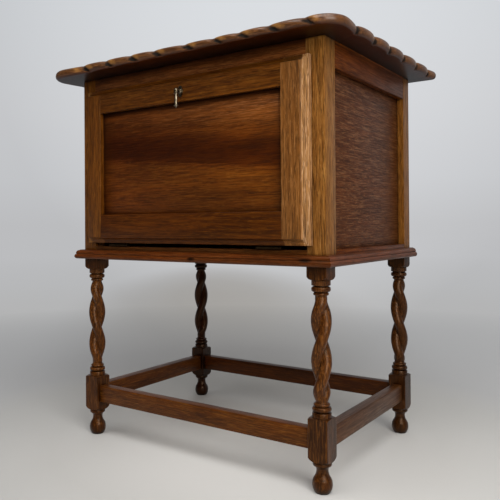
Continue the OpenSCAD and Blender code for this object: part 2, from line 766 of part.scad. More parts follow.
module side_top_rail_left() { placed() mirror([1, 0, 0]) side_top_rail(); }
module side_top_rail_right() { placed() side_top_rail(); }
module side_bottom_rail_left() { placed() mirror([1, 0, 0]) side_bottom_rail(); }
module side_bottom_rail_right() { placed() side_bottom_rail(); }

// Panels and floor, which float in their grooves
module side_panel() {
    color(oak_panel) block(
        [side_groove_x, front_post_y - groove_depth, bottom_rail_z - groove_depth],
        [side_groove_x + body_panel_t, back_post_y + groove_depth, top_z - side_top_rail_h + groove_depth]
    );
}

module side_panel_left() { placed() mirror([1, 0, 0]) side_panel(); }
module side_panel_right() { placed() side_panel(); }

module back_panel() {
    placed() color(pale_ply) block(
        [-post_in_x - groove_depth, back_groove_y, bottom_rail_z - groove_depth],
        [post_in_x + groove_depth, back_groove_y + body_panel_t, top_z - side_top_rail_h + groove_depth]
    );
}

module floor_panel() {
    x = half_w - rail_t + groove_depth;
    y0 = -half_d + rail_t - groove_depth;
    y1 = half_d - back_rail_t + groove_depth;
    c = 0.3;
    placed() color(pale_ply) translate([0, 0, floor_z]) linear_extrude(floor_t) difference() {
        translate([-x, y0]) square([2 * x, y1 - y0]);
        for (s = [-1, 1]) {
            translate([s * (post_in_x - c + post_w), front_post_y + c - front_post_d])
                square([2 * post_w, 2 * front_post_d], center = true);
            translate([s * (post_in_x - c + post_w), back_post_y - c + back_post_d])
                square([2 * post_w, 2 * back_post_d], center = true);
        }
    }
}

// Base moulding: a nosing with a step and an ovolo above it, mitred at the front corners
function base_outline() = let (r = nosing_h / 2, step = base_out - base_step, rise = base_h - nosing_h)
    concat(
        [[0, 0]],
        arc(base_out - r * 0.9, r, r * 0.9, r, -90, 90, 10),
        [[step, nosing_h], [step, nosing_h + 1.2]],
        arc(step - (rise - 2) * 0.9, nosing_h + 1.2, (rise - 2) * 0.9, rise - 2, 8, 90, 6),
        [[step - (rise - 2) * 0.9, base_h], [0, base_h]]
    );

module base_moulding_front() {
    x = half_w + base_out;
    placed() color(oak) translate([0, -half_d, body_z]) intersection() {
        translate([-x, 0, 0]) rotate([90, 0, 90]) linear_extrude(2 * x)
            mirror([1, 0]) polygon(base_outline());
        linear_extrude(base_h) polygon([[-half_w, 0], [-x, -base_out], [x, -base_out], [half_w, 0]]);
    }
}

// The right length runs back to the rear of the body. The left one is its mirror image
module base_moulding_side() {
    run = body_d + base_out;
    color(oak) translate([half_w, half_d, body_z]) intersection() {
        rotate([90, 0, 0]) linear_extrude(run) polygon(base_outline());
        linear_extrude(base_h) polygon([[0, 0], [0, -body_d], [base_out, -run], [base_out, 0]]);
    }
}

module base_moulding_left() { placed() mirror([1, 0, 0]) base_moulding_side(); }
module base_moulding_right() { placed() base_moulding_side(); }

// Fall front: stiles, rails and a panel, with a hollow run round all four edges

// Everything outside the hollow moulding, which is cut away from stiles and rails alike
module door_edge_hollow() {
    y = door_face_y;
    x = door_face_x + cove_r;
    for (s = [-1, 1]) translate([s * x, y, door_z0 - 1])
        cylinder(r = cove_r, h = door_z1 - door_z0 + 2, $fn = 96);
    for (z = [door_face_z0 - cove_r, door_face_z1 + cove_r])
        translate([-door_half_w - 1, y, z]) rotate([0, 90, 0])
            cylinder(r = cove_r, h = 2 * door_half_w + 2, $fn = 96);
}

// The groove round the inside of the frame
module door_groove() {
    f = joint_fit;
    g = groove_depth + f;
    block([-stile_in_x - g, door_panel_y - f, door_rail_z0 - g],
        [stile_in_x + g, door_panel_y + door_panel_t + f, door_rail_z1 + g]);
}

// The tenons of the fall front's rails, or with grow the mortises for them
module door_tenons(grow) {
    x = stile_in_x + door_tenon_len + grow;
    low = [door_face_z0 + 6, door_rail_z0 - groove_depth - 3];
    high = [door_rail_z1 + groove_depth + 3, door_face_z1 - 6];
    for (h = [low, high])
        block([-x, door_mid_y - tenon_t / 2 - grow, h[0] - grow],
            [x, door_mid_y + tenon_t / 2 + grow, h[1] + grow]);
}

module door_stile(s) {
    color(oak_light) difference() {
        block([stile_in_x, door_face_y, door_z0], [door_half_w, door_back_y, door_z1]);
        door_edge_hollow();
        door_groove();
        door_tenons(joint_fit);
        stay_foot_screws() screw_hole(screw_r, screw_head_r, screw_head_h, screw_len);
        moving_leaf_screws(1) screw_hole(screw_r, screw_head_r, screw_head_h, screw_len);
    }
}

module door_stile_left() { placed() mirror([1, 0, 0]) door_stile(); }
module door_stile_right() { placed() door_stile(); }

module door_top_rail() {
    placed() color(oak) difference() {
        union() {
            block([-stile_in_x, door_face_y, door_rail_z1], [stile_in_x, door_back_y, door_z1]);
            intersection() {
                door_tenons(0);
                block([-door_half_w, door_face_y, door_rail_z1], [door_half_w, door_back_y, door_z1]);
            }
        }
        door_edge_hollow();
        door_groove();
        translate([0, door_face_y - 1, pull_z]) rotate([-90, 0, 0])
            cylinder(r = spindle_r + 0.1, h = door_t + 2);
        stud_hole();
    }
}

module door_bottom_rail() {
    placed() color(oak) difference() {
        union() {
            block([-stile_in_x, door_face_y, door_z0], [stile_in_x, door_back_y, door_rail_z0]);
            intersection() {
                door_tenons(0);
                block([-door_half_w, door_face_y, door_z0], [door_half_w, door_back_y, door_rail_z0]);
            }
        }
        door_edge_hollow();
        door_groove();
        for (s = [-1, 1]) moving_leaf_screws(s) screw_hole(screw_r, screw_head_r, screw_head_h, screw_len);
    }
}

module door_panel() {
    g = groove_depth;
    placed() color(oak_panel) block([-stile_in_x - g, door_panel_y, door_rail_z0 - g],
        [stile_in_x + g, door_panel_y + door_panel_t, door_rail_z1 + g]);
}

// Hinges: cranked butts whose knuckles lie in the gap under the fall front

// The barrel between two places along X, with the bore for its pin
module barrel(x0, x1) {
    translate([x0, axis_y, axis_z]) rotate([0, 90, 0]) difference() {
        cylinder(r = knuckle_r, h = x1 - x0, $fn = 32);
        translate([0, 0, -1]) cylinder(r = hinge_pin_r + pin_play, h = x1 - x0 + 2, $fn = 32);
    }
}

// The bore through leaf material that lies inside the barrel
module pin_bore() {
    translate([-hinge_len, axis_y, axis_z]) rotate([0, 90, 0])
        cylinder(r = hinge_pin_r + pin_play, h = 2 * hinge_len, $fn = 32);
}

knuckle_l = hinge_len / knuckles;

// The leaf screwed down on the bottom rail. It carries the middle knuckle
module fixed_leaf(s) {
    x = hinge_len / 2;
    k = knuckle_l / 2 - knuckle_gap / 2;
    back = -half_d + leaf_reach;
    inner_y = axis_y + knuckle_r + leaf_gap;
    placed() color(brass) translate([s * hinge_x, 0, 0]) difference() {
        union() {
            block([-x, inner_y, bottom_rail_z], [x, back, bottom_rail_z + leaf_t]);
            block([-k, axis_y, bottom_rail_z], [k, inner_y + 1, bottom_rail_z + leaf_t]);
            barrel(-k, k);
        }
        pin_bore();
        translate([-s * hinge_x, 0, 0]) fixed_leaf_screws(s)
            screw_hole(screw_r, screw_head_r, screw_head_h, screw_len);
    }
}

// The leaf on the back of the fall front. It is cranked under the door's lip and carries the outer knuckles
module moving_leaf(s) {
    x = hinge_len / 2;
    k = knuckle_l / 2 + knuckle_gap / 2;
    top = door_z0 + leaf_reach;
    placed() color(brass) translate([s * hinge_x, 0, 0]) difference() {
        union() {
            block([-x, -half_d, door_z0 - leaf_t], [x, -half_d + leaf_t, top]);
            for (e = [-1, 1]) {
                from = e > 0 ? k : -x;
                to = e > 0 ? x : -k;
                block([from, axis_y, door_z0 - leaf_t], [to, -half_d + leaf_t, door_z0]);
                barrel(from, to);
            }
        }
        pin_bore();
        block([-k, axis_y - knuckle_r - 1, axis_z - knuckle_r - 1],
            [k, axis_y + knuckle_r + leaf_gap, door_z0 + 1]);
        translate([-s * hinge_x, 0, 0]) moving_leaf_screws(s)
            screw_hole(screw_r, screw_head_r, screw_head_h, screw_len);
    }
}

module hinge_pin(s) {
    placed() color(brass) translate([s * hinge_x - hinge_len / 2, axis_y, axis_z]) rotate([0, 90, 0])
        cylinder(r = hinge_pin_r, h = hinge_len, $fn = 32);
}

module hinge_fixed_leaf_left() { fixed_leaf(-1); }
module hinge_fixed_leaf_right() { fixed_leaf(1); }
module hinge_moving_leaf_left() { moving_leaf(-1); }
module hinge_moving_leaf_right() { moving_leaf(1); }
module hinge_pin_left() { hinge_pin(-1); }
module hinge_pin_right() { hinge_pin(1); }

// Places of the screws in the leaves of the hinge on side s
module fixed_leaf_screws(s) {
    for (dx = [-1, 1])
        translate([s * hinge_x + dx * hinge_len * 0.32, -half_d + leaf_reach * 0.6, bottom_rail_z + leaf_t])
            rotate([180, 0, 0]) children();
}

module moving_leaf_screws(s) {
    for (dx = [-1, 1])
        translate([s * hinge_x + dx * hinge_len * 0.32, -half_d + leaf_t, door_z0 + leaf_reach * 0.6])
            rotate([90, 0, 0]) children();
}

// Quadrant stays, struck from the hinge line

// A sector of a ring about the hinge line, from angle a0 to a1: 90 is straight up, 180 is to the back
module ring_sector(r0, r1, a0, a1, x0, x1) {
    reach = r1 * 2;
    mid = (a0 + a1) / 2;
    corner = reach / cos((a1 - a0) / 2);
    translate([x0, axis_y, axis_z]) rotate([90, 0, 90])
    linear_extrude(x1 - x0) mirror([1, 0]) intersection() {
        difference() {
            circle(r = r1, $fn = 180);
            circle(r = r0, $fn = 180);
        }
        polygon([
            [0, 0], reach * [cos(a0), sin(a0)],
            corner * [cos(mid), sin(mid)], reach * [cos(a1), sin(a1)]
        ]);
    }
}

// A quadrant on the right side. The left one is its mirror image
module stay_arc() {
    foot_y = -half_d;
    foot_z = axis_z + stay_r - stay_foot_h / 2;
    color(brass) difference() {
        union() {
            ring_sector(stay_in, stay_out, stay_start, tail_angle, stay_x, stay_x + stay_bar_t);
            block([stay_x + stay_bar_t - stay_foot_w, foot_y, foot_z],
                [stay_x + stay_bar_t, foot_y + stay_foot_t, foot_z + stay_foot_h]);
            at_angle(rivet_angle, stay_r) translate([0, 0, -rivet_out])
                cylinder(r = rivet_r, h = stay_bar_t + 2 * rivet_out, $fn = 24);
        }
        stay_foot_screws() screw_hole(screw_r, screw_head_r, screw_head_h, screw_len);
    }
}

// A place on the quadrant at an angle and radius, with +Z turned along X
module at_angle(a, r) {
    translate([stay_x, axis_y - r * cos(a), axis_z + r * sin(a)]) rotate([0, 90, 0]) children();
}

module stay_arc_left() { placed() mirror([1, 0, 0]) stay_arc(); }
module stay_arc_right() { placed() stay_arc(); }

module stay_foot_screws() {
    for (dz = [-1, 1]) translate([stay_x + stay_bar_t - stay_foot_w * 0.58, -half_d + stay_foot_t,
            axis_z + stay_r + dz * stay_foot_h * 0.32])
        rotate([90, 0, 0]) children();
}

// The guide on the right post: a plate with a slotted lug that the quadrant runs through
guide_y = axis_y - stay_r * cos(guide_angle);
guide_plate_t = 1.5;
guide_plate_w = 13;
guide_plate_h = stay_bar_w + 24;
guide_wall = 2;

module stay_guide() {
    mid_z = axis_z + stay_r * sin(guide_angle);
    lug_h = stay_bar_w / 2 + stay_play + guide_wall;
    front = guide_y - guide_len / 2;
    color(brass) difference() {
        union() {
            block([post_in_x - guide_plate_t, front, mid_z - guide_plate_h / 2],
                [post_in_x, front + guide_plate_w, mid_z + guide_plate_h / 2]);
            block([stay_x - stay_play - guide_wall, front, mid_z - lug_h],
                [post_in_x - 0.5, front + guide_len, mid_z + lug_h]);
        }
        ring_sector(stay_in - stay_play, stay_out + stay_play, 60, 120, stay_x - stay_play,
            stay_x + stay_bar_t + stay_play);
        stay_guide_screws() screw_hole(screw_r, screw_head_r, screw_head_h, screw_len);
    }
}

module stay_guide_screws() {
    mid_z = axis_z + stay_r * sin(guide_angle);
    mid_y = guide_y - guide_len / 2 + guide_plate_w / 2;
    for (dz = [-1, 1]) translate([post_in_x - guide_plate_t, mid_y, mid_z + dz * (guide_plate_h / 2 - 4)])
        rotate([0, 90, 0]) children();
}

module stay_guide_left() { placed() mirror([1, 0, 0]) stay_guide(); }
module stay_guide_right() { placed() stay_guide(); }

// Spring catch: a round-headed stud on the fall front enters a clip under the top rail
catch_z = top_z - front_top_rail_h - stud_drop;
stud_neck_r = stud_r * 0.5;
stud_head_y = -half_d + stud_r + 3;
clip_t = 0.9;
clip_w = 12;
clip_back_y = stud_head_y + stud_r + 1;

module catch_stud() {
    neck = 8;
    placed() color(brass) translate([catch_x, 0, catch_z]) {
        translate([0, stud_head_y, 0]) sphere(r = stud_r, $fn = 40);
        translate([0, door_back_y, 0]) rotate([-90, 0, 0]) {
            cylinder(r = stud_neck_r, h = stud_head_y - door_back_y, $fn = 32);
            cylinder(r = stud_r, h = 1.2, $fn = 32);
            translate([0, 0, -neck]) cylinder(r = stud_neck_r, h = neck + 1, $fn = 32);
        }
    }
}

module stud_hole() {
    translate([catch_x, door_back_y + 1, catch_z]) rotate([90, 0, 0])
        cylinder(r = stud_neck_r + screw_fit, h = 9.2, $fn = 32);
}

// The clip, seen along X, is one bent strip: foot, back and two jaws with flared lips
module catch_clip() {
    t = clip_t;
    y = clip_back_y;
    foot_y = -half_d + rail_t - 0.5;
    jaw = stud_r + jaw_play;
    lip_y = stud_head_y - stud_r * 0.4;
    lip = [-2.4, 1.2];
    placed() color(steel) difference() {
        translate([catch_x - clip_w / 2, 0, catch_z]) rotate([90, 0, 90]) linear_extrude(clip_w) polygon([
            [foot_y, stud_drop - t], [foot_y, stud_drop], [y, stud_drop], [y, jaw + t],
            [lip_y, jaw + t], [lip_y + lip[0], jaw + t + lip[1]],
            [lip_y + lip[0], jaw + lip[1]], [lip_y, jaw], [y, jaw], [y, -jaw],
            [lip_y, -jaw], [lip_y + lip[0], -jaw - lip[1]],
            [lip_y + lip[0], -jaw - t - lip[1]], [lip_y, -jaw - t],
            [y + t, -jaw - t], [y + t, stud_drop - t]
        ]);
        catch_screw_places() screw_hole(screw_r, screw_head_r, screw_head_h, screw_len);
    }
}

module catch_screw_places() {
    translate([catch_x, -half_d + rail_t - 5, catch_z + stud_drop - clip_t]) children();
}

// Tear-drop pull

// The back plate: an oval with a waist, pierced above and below
module pull_plate() {
    placed() color(aged_brass)
    translate([0, door_face_y, pull_z]) rotate([90, 0, 0]) linear_extrude(plate_t) {
        difference() {
            union() {
                circle(r = plate_w / 2);
                for (s = [-1, 1]) {
                    translate([0, s * (plate_h / 2 - plate_w * 0.3)]) circle(r = plate_w * 0.3);
                    translate([0, s * plate_h * 0.22])
                        square([plate_w * 0.42, plate_h * 0.3], center = true);
                }
            }
            circle(r = spindle_r + 0.1);
            for (s = [-1, 1]) translate([0, s * (plate_h / 2 - plate_w * 0.28)])
                circle(r = plate_w * 0.1, $fn = 20);
        }
    }
}

// The pillar: a turned neck that stands on the plate, a flat tongue for the drop and a spindle behind
module pull_pillar() {
    y0 = door_face_y - plate_t;
    neck = pivot_out - plate_t - drop_head_r - 1.2;
    placed() color(aged_brass) difference() {
        union() {
            translate([0, y0, pull_z]) rotate([90, 0, 0]) rotate_extrude($fn = 32)
                polygon(concat([[0, 0], [4, 0], [4, 0.8]],
                    curve([3.4, 1.2], [2, neck * 0.4], [2.6, neck * 0.7], [3.6, neck], 5), [[0, neck]]));
            translate([0, y0 - 0.5, pull_z]) rotate([-90, 0, 0])
                cylinder(r = spindle_r, h = door_t + plate_t + 5.5, $fn = 32);
            translate([-tongue_t / 2, 0, 0]) rotate([90, 0, 90]) linear_extrude(tongue_t) union() {
                translate([pivot_y, pivot_z]) circle(r = tongue_r, $fn = 32);
                polygon([[pivot_y, pivot_z - tongue_r], [pivot_y, pivot_z + tongue_r],
                    [y0 - neck + 0.5, pull_z + 3], [y0 - neck + 0.5, pull_z - 1]]);
            }
        }
        translate([-5, pivot_y, pivot_z]) rotate([0, 90, 0])
            cylinder(r = pull_pin_r + pin_play, h = 10, $fn = 24);
    }
}

module pull_nut() {
    placed() color(aged_brass) translate([0, door_back_y, pull_z]) rotate([-90, 0, 0]) difference() {
        cylinder(r = 4.4, h = 3, $fn = 6);
        translate([0, 0, -1]) cylinder(r = spindle_r + 0.05, h = 5, $fn = 32);
    }
}

// The drop: a forked head, a thin neck, a collar, a stem that swells to a foot ring, and a small button
module pull_drop() {
    r = drop_head_r;
    z1 = -r - 1.7;
    low = -drop_len;
    placed() color(aged_brass) translate([0, pivot_y, pivot_z]) difference() {
        union() {
            sphere(r = r, $fn = 40);
            rotate_extrude($fn = 40) polygon(concat(
                [[0, 0], [0, low]],
                arc(0, low + 1.2, 1.7, 1.2, -80, 40, 5),
                arc(3.1, low + 3.8, 1.5, 1.5, -90, 90, 6),
                curve([3.2, low + 5.8], [3.1, low + 12], [2.4, z1 - 9], [2.2, z1 - 3.4], 6),
                arc(3.5, z1 - 1.9, 1.4, 1.1, -90, 90, 5),
                [[1.9, z1 - 0.6], [1.8, z1 - 0.3], [r * 0.75, z1], [r * 0.97, -r + 1], [r, 0]]
            ));
        }
        block([-tongue_t / 2 - slot_play, -2 * r, -r - 0.4], [tongue_t / 2 + slot_play, 2 * r, 2 * r]);
        translate([-2 * r, 0, 0]) rotate([0, 90, 0]) cylinder(r = pull_pin_r + 0.02, h = 4 * r, $fn = 24);
    }
}

module pull_pin() {
    l = drop_head_r * 2 - 0.6;
    placed() color(aged_brass) translate([-l / 2, pivot_y, pivot_z]) rotate([0, 90, 0])
        cylinder(r = pull_pin_r, h = l, $fn = 24);
}

// Screws of the fittings, those in the body and those in the fall front
module both_sides() {
    children();
    mirror([1, 0, 0]) children();
}

module body_screws() {
    placed() color(brass) {
        for (s = [-1, 1]) fixed_leaf_screws(s) screw(screw_r, screw_head_r, screw_head_h, screw_len);
        both_sides() stay_guide_screws() screw(screw_r, screw_head_r, screw_head_h, screw_len);
        catch_screw_places() screw(screw_r, screw_head_r, screw_head_h, screw_len);
    }
}

module door_screws() {
    placed() color(brass) {
        for (s = [-1, 1]) moving_leaf_screws(s) screw(screw_r, screw_head_r, screw_head_h, screw_len);
        both_sides() stay_foot_screws() screw(screw_r, screw_head_r, screw_head_h, screw_len);
    }
}

top_board();
top_buttons();
button_screws();
leg_front_left();
leg_front_right();
leg_back_left();
leg_back_right();
stretcher_front();
stretcher_back();
stretcher_left();
stretcher_right();
post_front_left();
post_front_right();
post_back_left();
post_back_right();
front_top_rail();
front_bottom_rail();
back_top_rail();
back_bottom_rail();
side_top_rail_left();
side_top_rail_right();
side_bottom_rail_left();
side_bottom_rail_right();
side_panel_left();
side_panel_right();
back_panel();
floor_panel();
base_moulding_front();
base_moulding_left();
base_moulding_right();
door_stile_left();
door_stile_right();
door_top_rail();
door_bottom_rail();
door_panel();
hinge_fixed_leaf_left();
hinge_fixed_leaf_right();
hinge_moving_leaf_left();
hinge_moving_leaf_right();
hinge_pin_left();
hinge_pin_right();
stay_guide_left();
stay_guide_right();
stay_arc_left();
stay_arc_right();
catch_clip();
catch_stud();
pull_plate();
pull_pillar();
pull_nut();
pull_drop();
pull_pin();
body_screws();
door_screws();
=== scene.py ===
import math

import bmesh
import bpy
from mathutils import Matrix, Vector


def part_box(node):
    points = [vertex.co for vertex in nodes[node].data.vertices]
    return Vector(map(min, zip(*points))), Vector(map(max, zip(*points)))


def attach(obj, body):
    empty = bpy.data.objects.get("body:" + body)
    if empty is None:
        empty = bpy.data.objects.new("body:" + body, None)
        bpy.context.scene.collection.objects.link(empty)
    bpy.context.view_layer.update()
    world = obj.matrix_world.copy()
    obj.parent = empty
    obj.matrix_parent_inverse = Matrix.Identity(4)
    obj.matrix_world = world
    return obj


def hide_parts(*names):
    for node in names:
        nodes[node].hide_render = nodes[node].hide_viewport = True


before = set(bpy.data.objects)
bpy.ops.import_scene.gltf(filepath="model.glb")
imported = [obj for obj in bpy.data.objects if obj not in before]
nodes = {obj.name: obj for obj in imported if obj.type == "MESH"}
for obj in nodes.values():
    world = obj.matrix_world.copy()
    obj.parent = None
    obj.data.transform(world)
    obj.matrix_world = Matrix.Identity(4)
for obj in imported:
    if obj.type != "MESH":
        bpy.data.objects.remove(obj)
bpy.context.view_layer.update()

# Camera. The cabinet was seen from near its front right corner, a little above the middle of its
# height. The picture is a crop, so its centre lies to the right of the lens's own axis and below it.
turn, tilt, lean = -0.63078, 0.0064, -0.00653
body_middle_y = (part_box("post_front_left")[0].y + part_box("post_back_left")[1].y) / 2
camera_at = (0.7353, body_middle_y - 1.1535, 0.44606)
ahead = Vector((math.sin(turn) * math.cos(tilt), math.cos(turn) * math.cos(tilt), math.sin(tilt)))
level = Vector((math.cos(turn), -math.sin(turn), 0))
upright = level.cross(ahead)
picture_x = math.cos(lean) * level + math.sin(lean) * upright
picture_y = math.cos(lean) * upright - math.sin(lean) * level
bpy.ops.object.select_all(action="DESELECT")
bpy.ops.object.camera_add()
camera = bpy.context.object
camera.name = "camera"
camera.matrix_world = Matrix.Translation(camera_at) @ Matrix(
    (picture_x, picture_y, -ahead)).transposed().to_4x4()
camera.data.sensor_width = 36
camera.data.lens = 45.574
camera.data.shift_x = 0.08611
camera.data.shift_y = -0.05807
camera.data.clip_end = 200
bpy.context.scene.camera = camera
bpy.context.scene.view_settings.view_transform = "Standard"

# Studio. A pale floor that runs out into a pale backdrop without a seam, large soft lights above and
# to the right, a fill from the left, and a room that is dim in front and pale behind the cabinet.
floor_reach = 24
painted_shadow_away, painted_shadow_size = 2.7, (3.3, 0.9, 1)


def node_of(tree, kind, **settings):
    made = tree.nodes.new(kind)
    for key, value in settings.items():
        setattr(made, key, value)
    return made


def wire(tree, source, target):
    # A source is the socket of another node, or else a plain value.
    if hasattr(source, "is_output"):
        tree.links.new(source, target)
    else:
        target.default_value = source


def ramp_of(tree, source, stops):
    made = tree.nodes.new("ShaderNodeValToRGB")
    steps = made.color_ramp.elements
    while len(steps) < len(stops):
        steps.new(0.5)
    for step, (at, colour) in zip(steps, stops):
        step.position = at
        step.color = (*colour, 1)
    wire(tree, source, made.inputs["Fac"])
    return made.outputs["Color"]


def span_of(tree, source, low, high, to_low=0.0, to_high=1.0):
    made = node_of(tree, "ShaderNodeMapRange", clamp=True)
    for label, value in (("Value", source), ("From Min", low), ("From Max", high),
                         ("To Min", to_low), ("To Max", to_high)):
        wire(tree, value, made.inputs[label])
    return made.outputs["Result"]


def math_of(tree, operation, *sources):
    made = node_of(tree, "ShaderNodeMath", operation=operation)
    for source, target in zip(sources, made.inputs):
        wire(tree, source, target)
    return made.outputs[0]


def vector_of(tree, operation, *sources):
    made = node_of(tree, "ShaderNodeVectorMath", operation=operation)
    for source, target in zip(sources, made.inputs):
        wire(tree, source, target)
    return made.outputs["Vector" if operation == "NORMALIZE" else "Value"]


def mix_of(tree, mask, under, over, way="MIX"):
    made = node_of(tree, "ShaderNodeMix", data_type="RGBA", blend_type=way)
    for source, socket in ((mask, "Factor"), (under, 6), (over, 7)):
        wire(tree, source, made.inputs[socket])
    return made.outputs[2]


def toned(tree, source, other):
    return mix_of(tree, 1, source, other, "MULTIPLY")


def object_of(tree):
    return node_of(tree, "ShaderNodeTexCoord").outputs["Object"]


def axes_of(tree, source):
    made = node_of(tree, "ShaderNodeSeparateXYZ")
    wire(tree, source, made.inputs[0])
    return made.outputs


def oval_of(tree, source, middle, size, heading=0.0):
    # Gives 0 at the middle of an oval and 1 at its rim.
    spread = node_of(tree, "ShaderNodeMapping", vector_type="TEXTURE")
    spread.inputs["Location"].default_value = middle
    spread.inputs["Rotation"].default_value = (0, 0, heading)
    spread.inputs["Scale"].default_value = size
    wire(tree, source, spread.inputs["Vector"])
    return vector_of(tree, "LENGTH", spread.outputs["Vector"])


def glow_of(tree, heading, rise):
    # A painted pool of light: the backdrop is brightest beyond the left side of the cabinet.
    facing = vector_of(tree, "DOT_PRODUCT", heading, (-0.46, 0.84, rise))
    return span_of(tree, facing, 0.90, 1.0, 0.93, 1.17)


def either_of(tree, mask, first, second):
    made = node_of(tree, "ShaderNodeMixShader")
    for source, target in zip((mask, first, second), made.inputs):
        wire(tree, source, target)
    return made.outputs[0]


bpy.ops.mesh.primitive_circle_add(vertices=96, radius=floor_reach, fill_type="NGON", location=(0, 0, 0))
floor = bpy.context.object
floor.name = "floor"
paper = bpy.data.materials.new("pale_floor")
paper.use_nodes = True
tree = paper.node_tree
shader = tree.nodes["Principled BSDF"]
shader.inputs["Roughness"].default_value = 0.6
shader.inputs["Specular IOR Level"].default_value = 0.1
spot = object_of(tree)
distance = vector_of(tree, "LENGTH", spot)
# Painted shadow: the floor is painted darker in an oval that lies behind the cabinet.
painted_floor_shadow = ramp_of(tree, oval_of(tree, spot, (painted_shadow_away * ahead.x, painted_shadow_away * ahead.y, 0), painted_shadow_size,
                               math.atan2(ahead.y, ahead.x)), [
    (0.0, (0.72, 0.69, 0.65)), (0.3, (0.74, 0.715, 0.68)), (0.55, (0.82, 0.805, 0.785)),
    (0.8, (0.94, 0.935, 0.93)), (0.92, (0.985, 0.985, 0.985)), (1.0, (1.0, 1.0, 1.0))])
# The floor is paler near and under the cabinet, lifting the shadow there as painted light, and settles to an
# even tone further out.
near_tone_and_painted_light = ramp_of(tree, span_of(tree, distance, 0.0, 2.0), [
    (0.0, (0.78, 0.76, 0.725)), (0.09, (0.68, 0.66, 0.63)), (0.20, (0.51, 0.495, 0.47)),
    (0.29, (0.46, 0.45, 0.43)), (0.36, (0.43, 0.425, 0.42)), (1.0, (0.49, 0.495, 0.505))])
# Painted shade: the floor is darker towards the left.
painted_shade_to_left = ramp_of(tree, span_of(tree, axes_of(tree, spot)["X"], -0.8, 0.4), [
    (0.0, (0.84, 0.84, 0.845)), (0.5, (0.88, 0.88, 0.88)), (0.9, (1.0, 1.0, 1.0)),
    (1.0, (1.06, 1.06, 1.06))])
wire(tree, toned(tree, toned(tree, near_tone_and_painted_light, painted_floor_shadow), painted_shade_to_left), shader.inputs["Base Color"])
far = node_of(tree, "ShaderNodeEmission")
lit = glow_of(tree, vector_of(tree, "NORMALIZE", spot), 0)
far_tones = ramp_of(tree, span_of(tree, distance, 0.8, 8.0), [
    (0.0, (0.46, 0.46, 0.455)), (0.12, (0.48, 0.48, 0.48)), (0.4, (0.505, 0.51, 0.52)),
    (1.0, (0.535, 0.54, 0.555))])
wire(tree, toned(tree, toned(tree, far_tones, painted_floor_shadow), lit), far.inputs["Color"])
seen = node_of(tree, "ShaderNodeLightPath").outputs
faded = math_of(tree, "MULTIPLY", seen["Is Camera Ray"], span_of(tree, distance, 0.9, 2.2))
wire(tree, either_of(tree, faded, shader.outputs[0], far.outputs[0]),
     tree.nodes["Material Output"].inputs["Surface"])
floor.data.materials.append(paper)

world = bpy.data.worlds.new("studio")
bpy.context.scene.world = world
world.use_nodes = True
tree = world.node_tree
tree.nodes.clear()
sky = node_of(tree, "ShaderNodeTexCoord").outputs["Generated"]
sky_axes = axes_of(tree, sky)
backdrop = node_of(tree, "ShaderNodeBackground")
wire(tree, ramp_of(tree, sky_axes["Z"], [
    (0.0, (0.535, 0.540, 0.555)), (0.07, (0.575, 0.585, 0.605)), (0.18, (0.60, 0.61, 0.63)),
    (0.33, (0.61, 0.63, 0.655)), (1.0, (0.70, 0.72, 0.75))]), backdrop.inputs["Color"])
wire(tree, glow_of(tree, sky, 0.27), backdrop.inputs["Strength"])
room = node_of(tree, "ShaderNodeBackground")
wire(tree, ramp_of(tree, span_of(tree, sky_axes["Y"], -1.0, 1.0), [
    (0.0, (0.03, 0.03, 0.03)), (0.47, (0.035, 0.035, 0.035)), (0.68, (0.27, 0.27, 0.28)),
    (1.0, (0.36, 0.37, 0.38))]), room.inputs["Color"])
ambient = node_of(tree, "ShaderNodeBackground")
ambient.inputs["Color"].default_value = (0.95, 0.97, 1.0, 1)
ambient.inputs["Strength"].default_value = 0.36
seen = node_of(tree, "ShaderNodeLightPath").outputs
shown = math_of(tree, "MAXIMUM", seen["Is Camera Ray"], seen["Is Transmission Ray"])
lighting = either_of(tree, seen["Is Glossy Ray"], ambient.outputs[0], room.outputs[0])
wire(tree, either_of(tree, shown, lighting, backdrop.outputs[0]),
     node_of(tree, "ShaderNodeOutputWorld").inputs["Surface"])


def softbox(name, place, aim, size, power, colour=(1, 1, 1), mirrored=True):
    bpy.ops.object.light_add(type="AREA", location=place)
    lamp = bpy.context.object
    lamp.name = name
    lamp.data.shape = "RECTANGLE"
    lamp.data.size, lamp.data.size_y = size
    lamp.data.energy = power
    lamp.data.color = colour
    lamp.visible_glossy = mirrored
    lamp.rotation_mode = "QUATERNION"
    lamp.rotation_quaternion = (Vector(aim) - Vector(place)).to_track_quat("-Z", "Y")


softbox("softbox_above", (0.4, -0.8, 2.5), (0, 0, 0.3), (2.2, 1.8), 48)
softbox("softbox_right", (1.7, -1.25, 1.25), (0, 0, 0.5), (1.2, 1.5), 34, (1, 0.99, 0.97))
softbox("fill_left", (-1.7, -2.2, 1.1), (0, 0, 0.45), (1.6, 1.6), 12, mirrored=False)
softbox("fill_behind", (-1.2, 2.4, 1.3), (0, 0, 0.45), (1.6, 1.6), 8, mirrored=False)

# Legs. Each is turned from one square of oak between centres, with square blocks left at the cap and
# at the stretchers, then the middle is cut by hand into two strands that wind round each other. The
# outlines are pairs of radius and height in millimetres, as are the sizes of neck, block and twist.
mm = 1000
neck, block_half = 10, 18
twist_low, twist_high, twist_pitch, twist_start = 151, 325, 134, 324
strand, strand_offset, twist_run_out = 10, 7.3, 26
block_arris = 0.0009
floor_to_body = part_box("base_moulding_front")[0].z


def select_only(piece):
    bpy.ops.object.select_all(action="DESELECT")
    piece.select_set(True)
    bpy.context.view_layer.objects.active = piece


def pick_upright(piece, least):
    # Selects the edges that rise by more than the least height, in edit mode.
    bpy.ops.mesh.select_mode(type="EDGE")
    form = bmesh.from_edit_mesh(piece.data)
    for edge in form.edges:
        a, b = edge.verts
        edge.select = abs(a.co.z - b.co.z) > least
    bmesh.update_edit_mesh(piece.data)


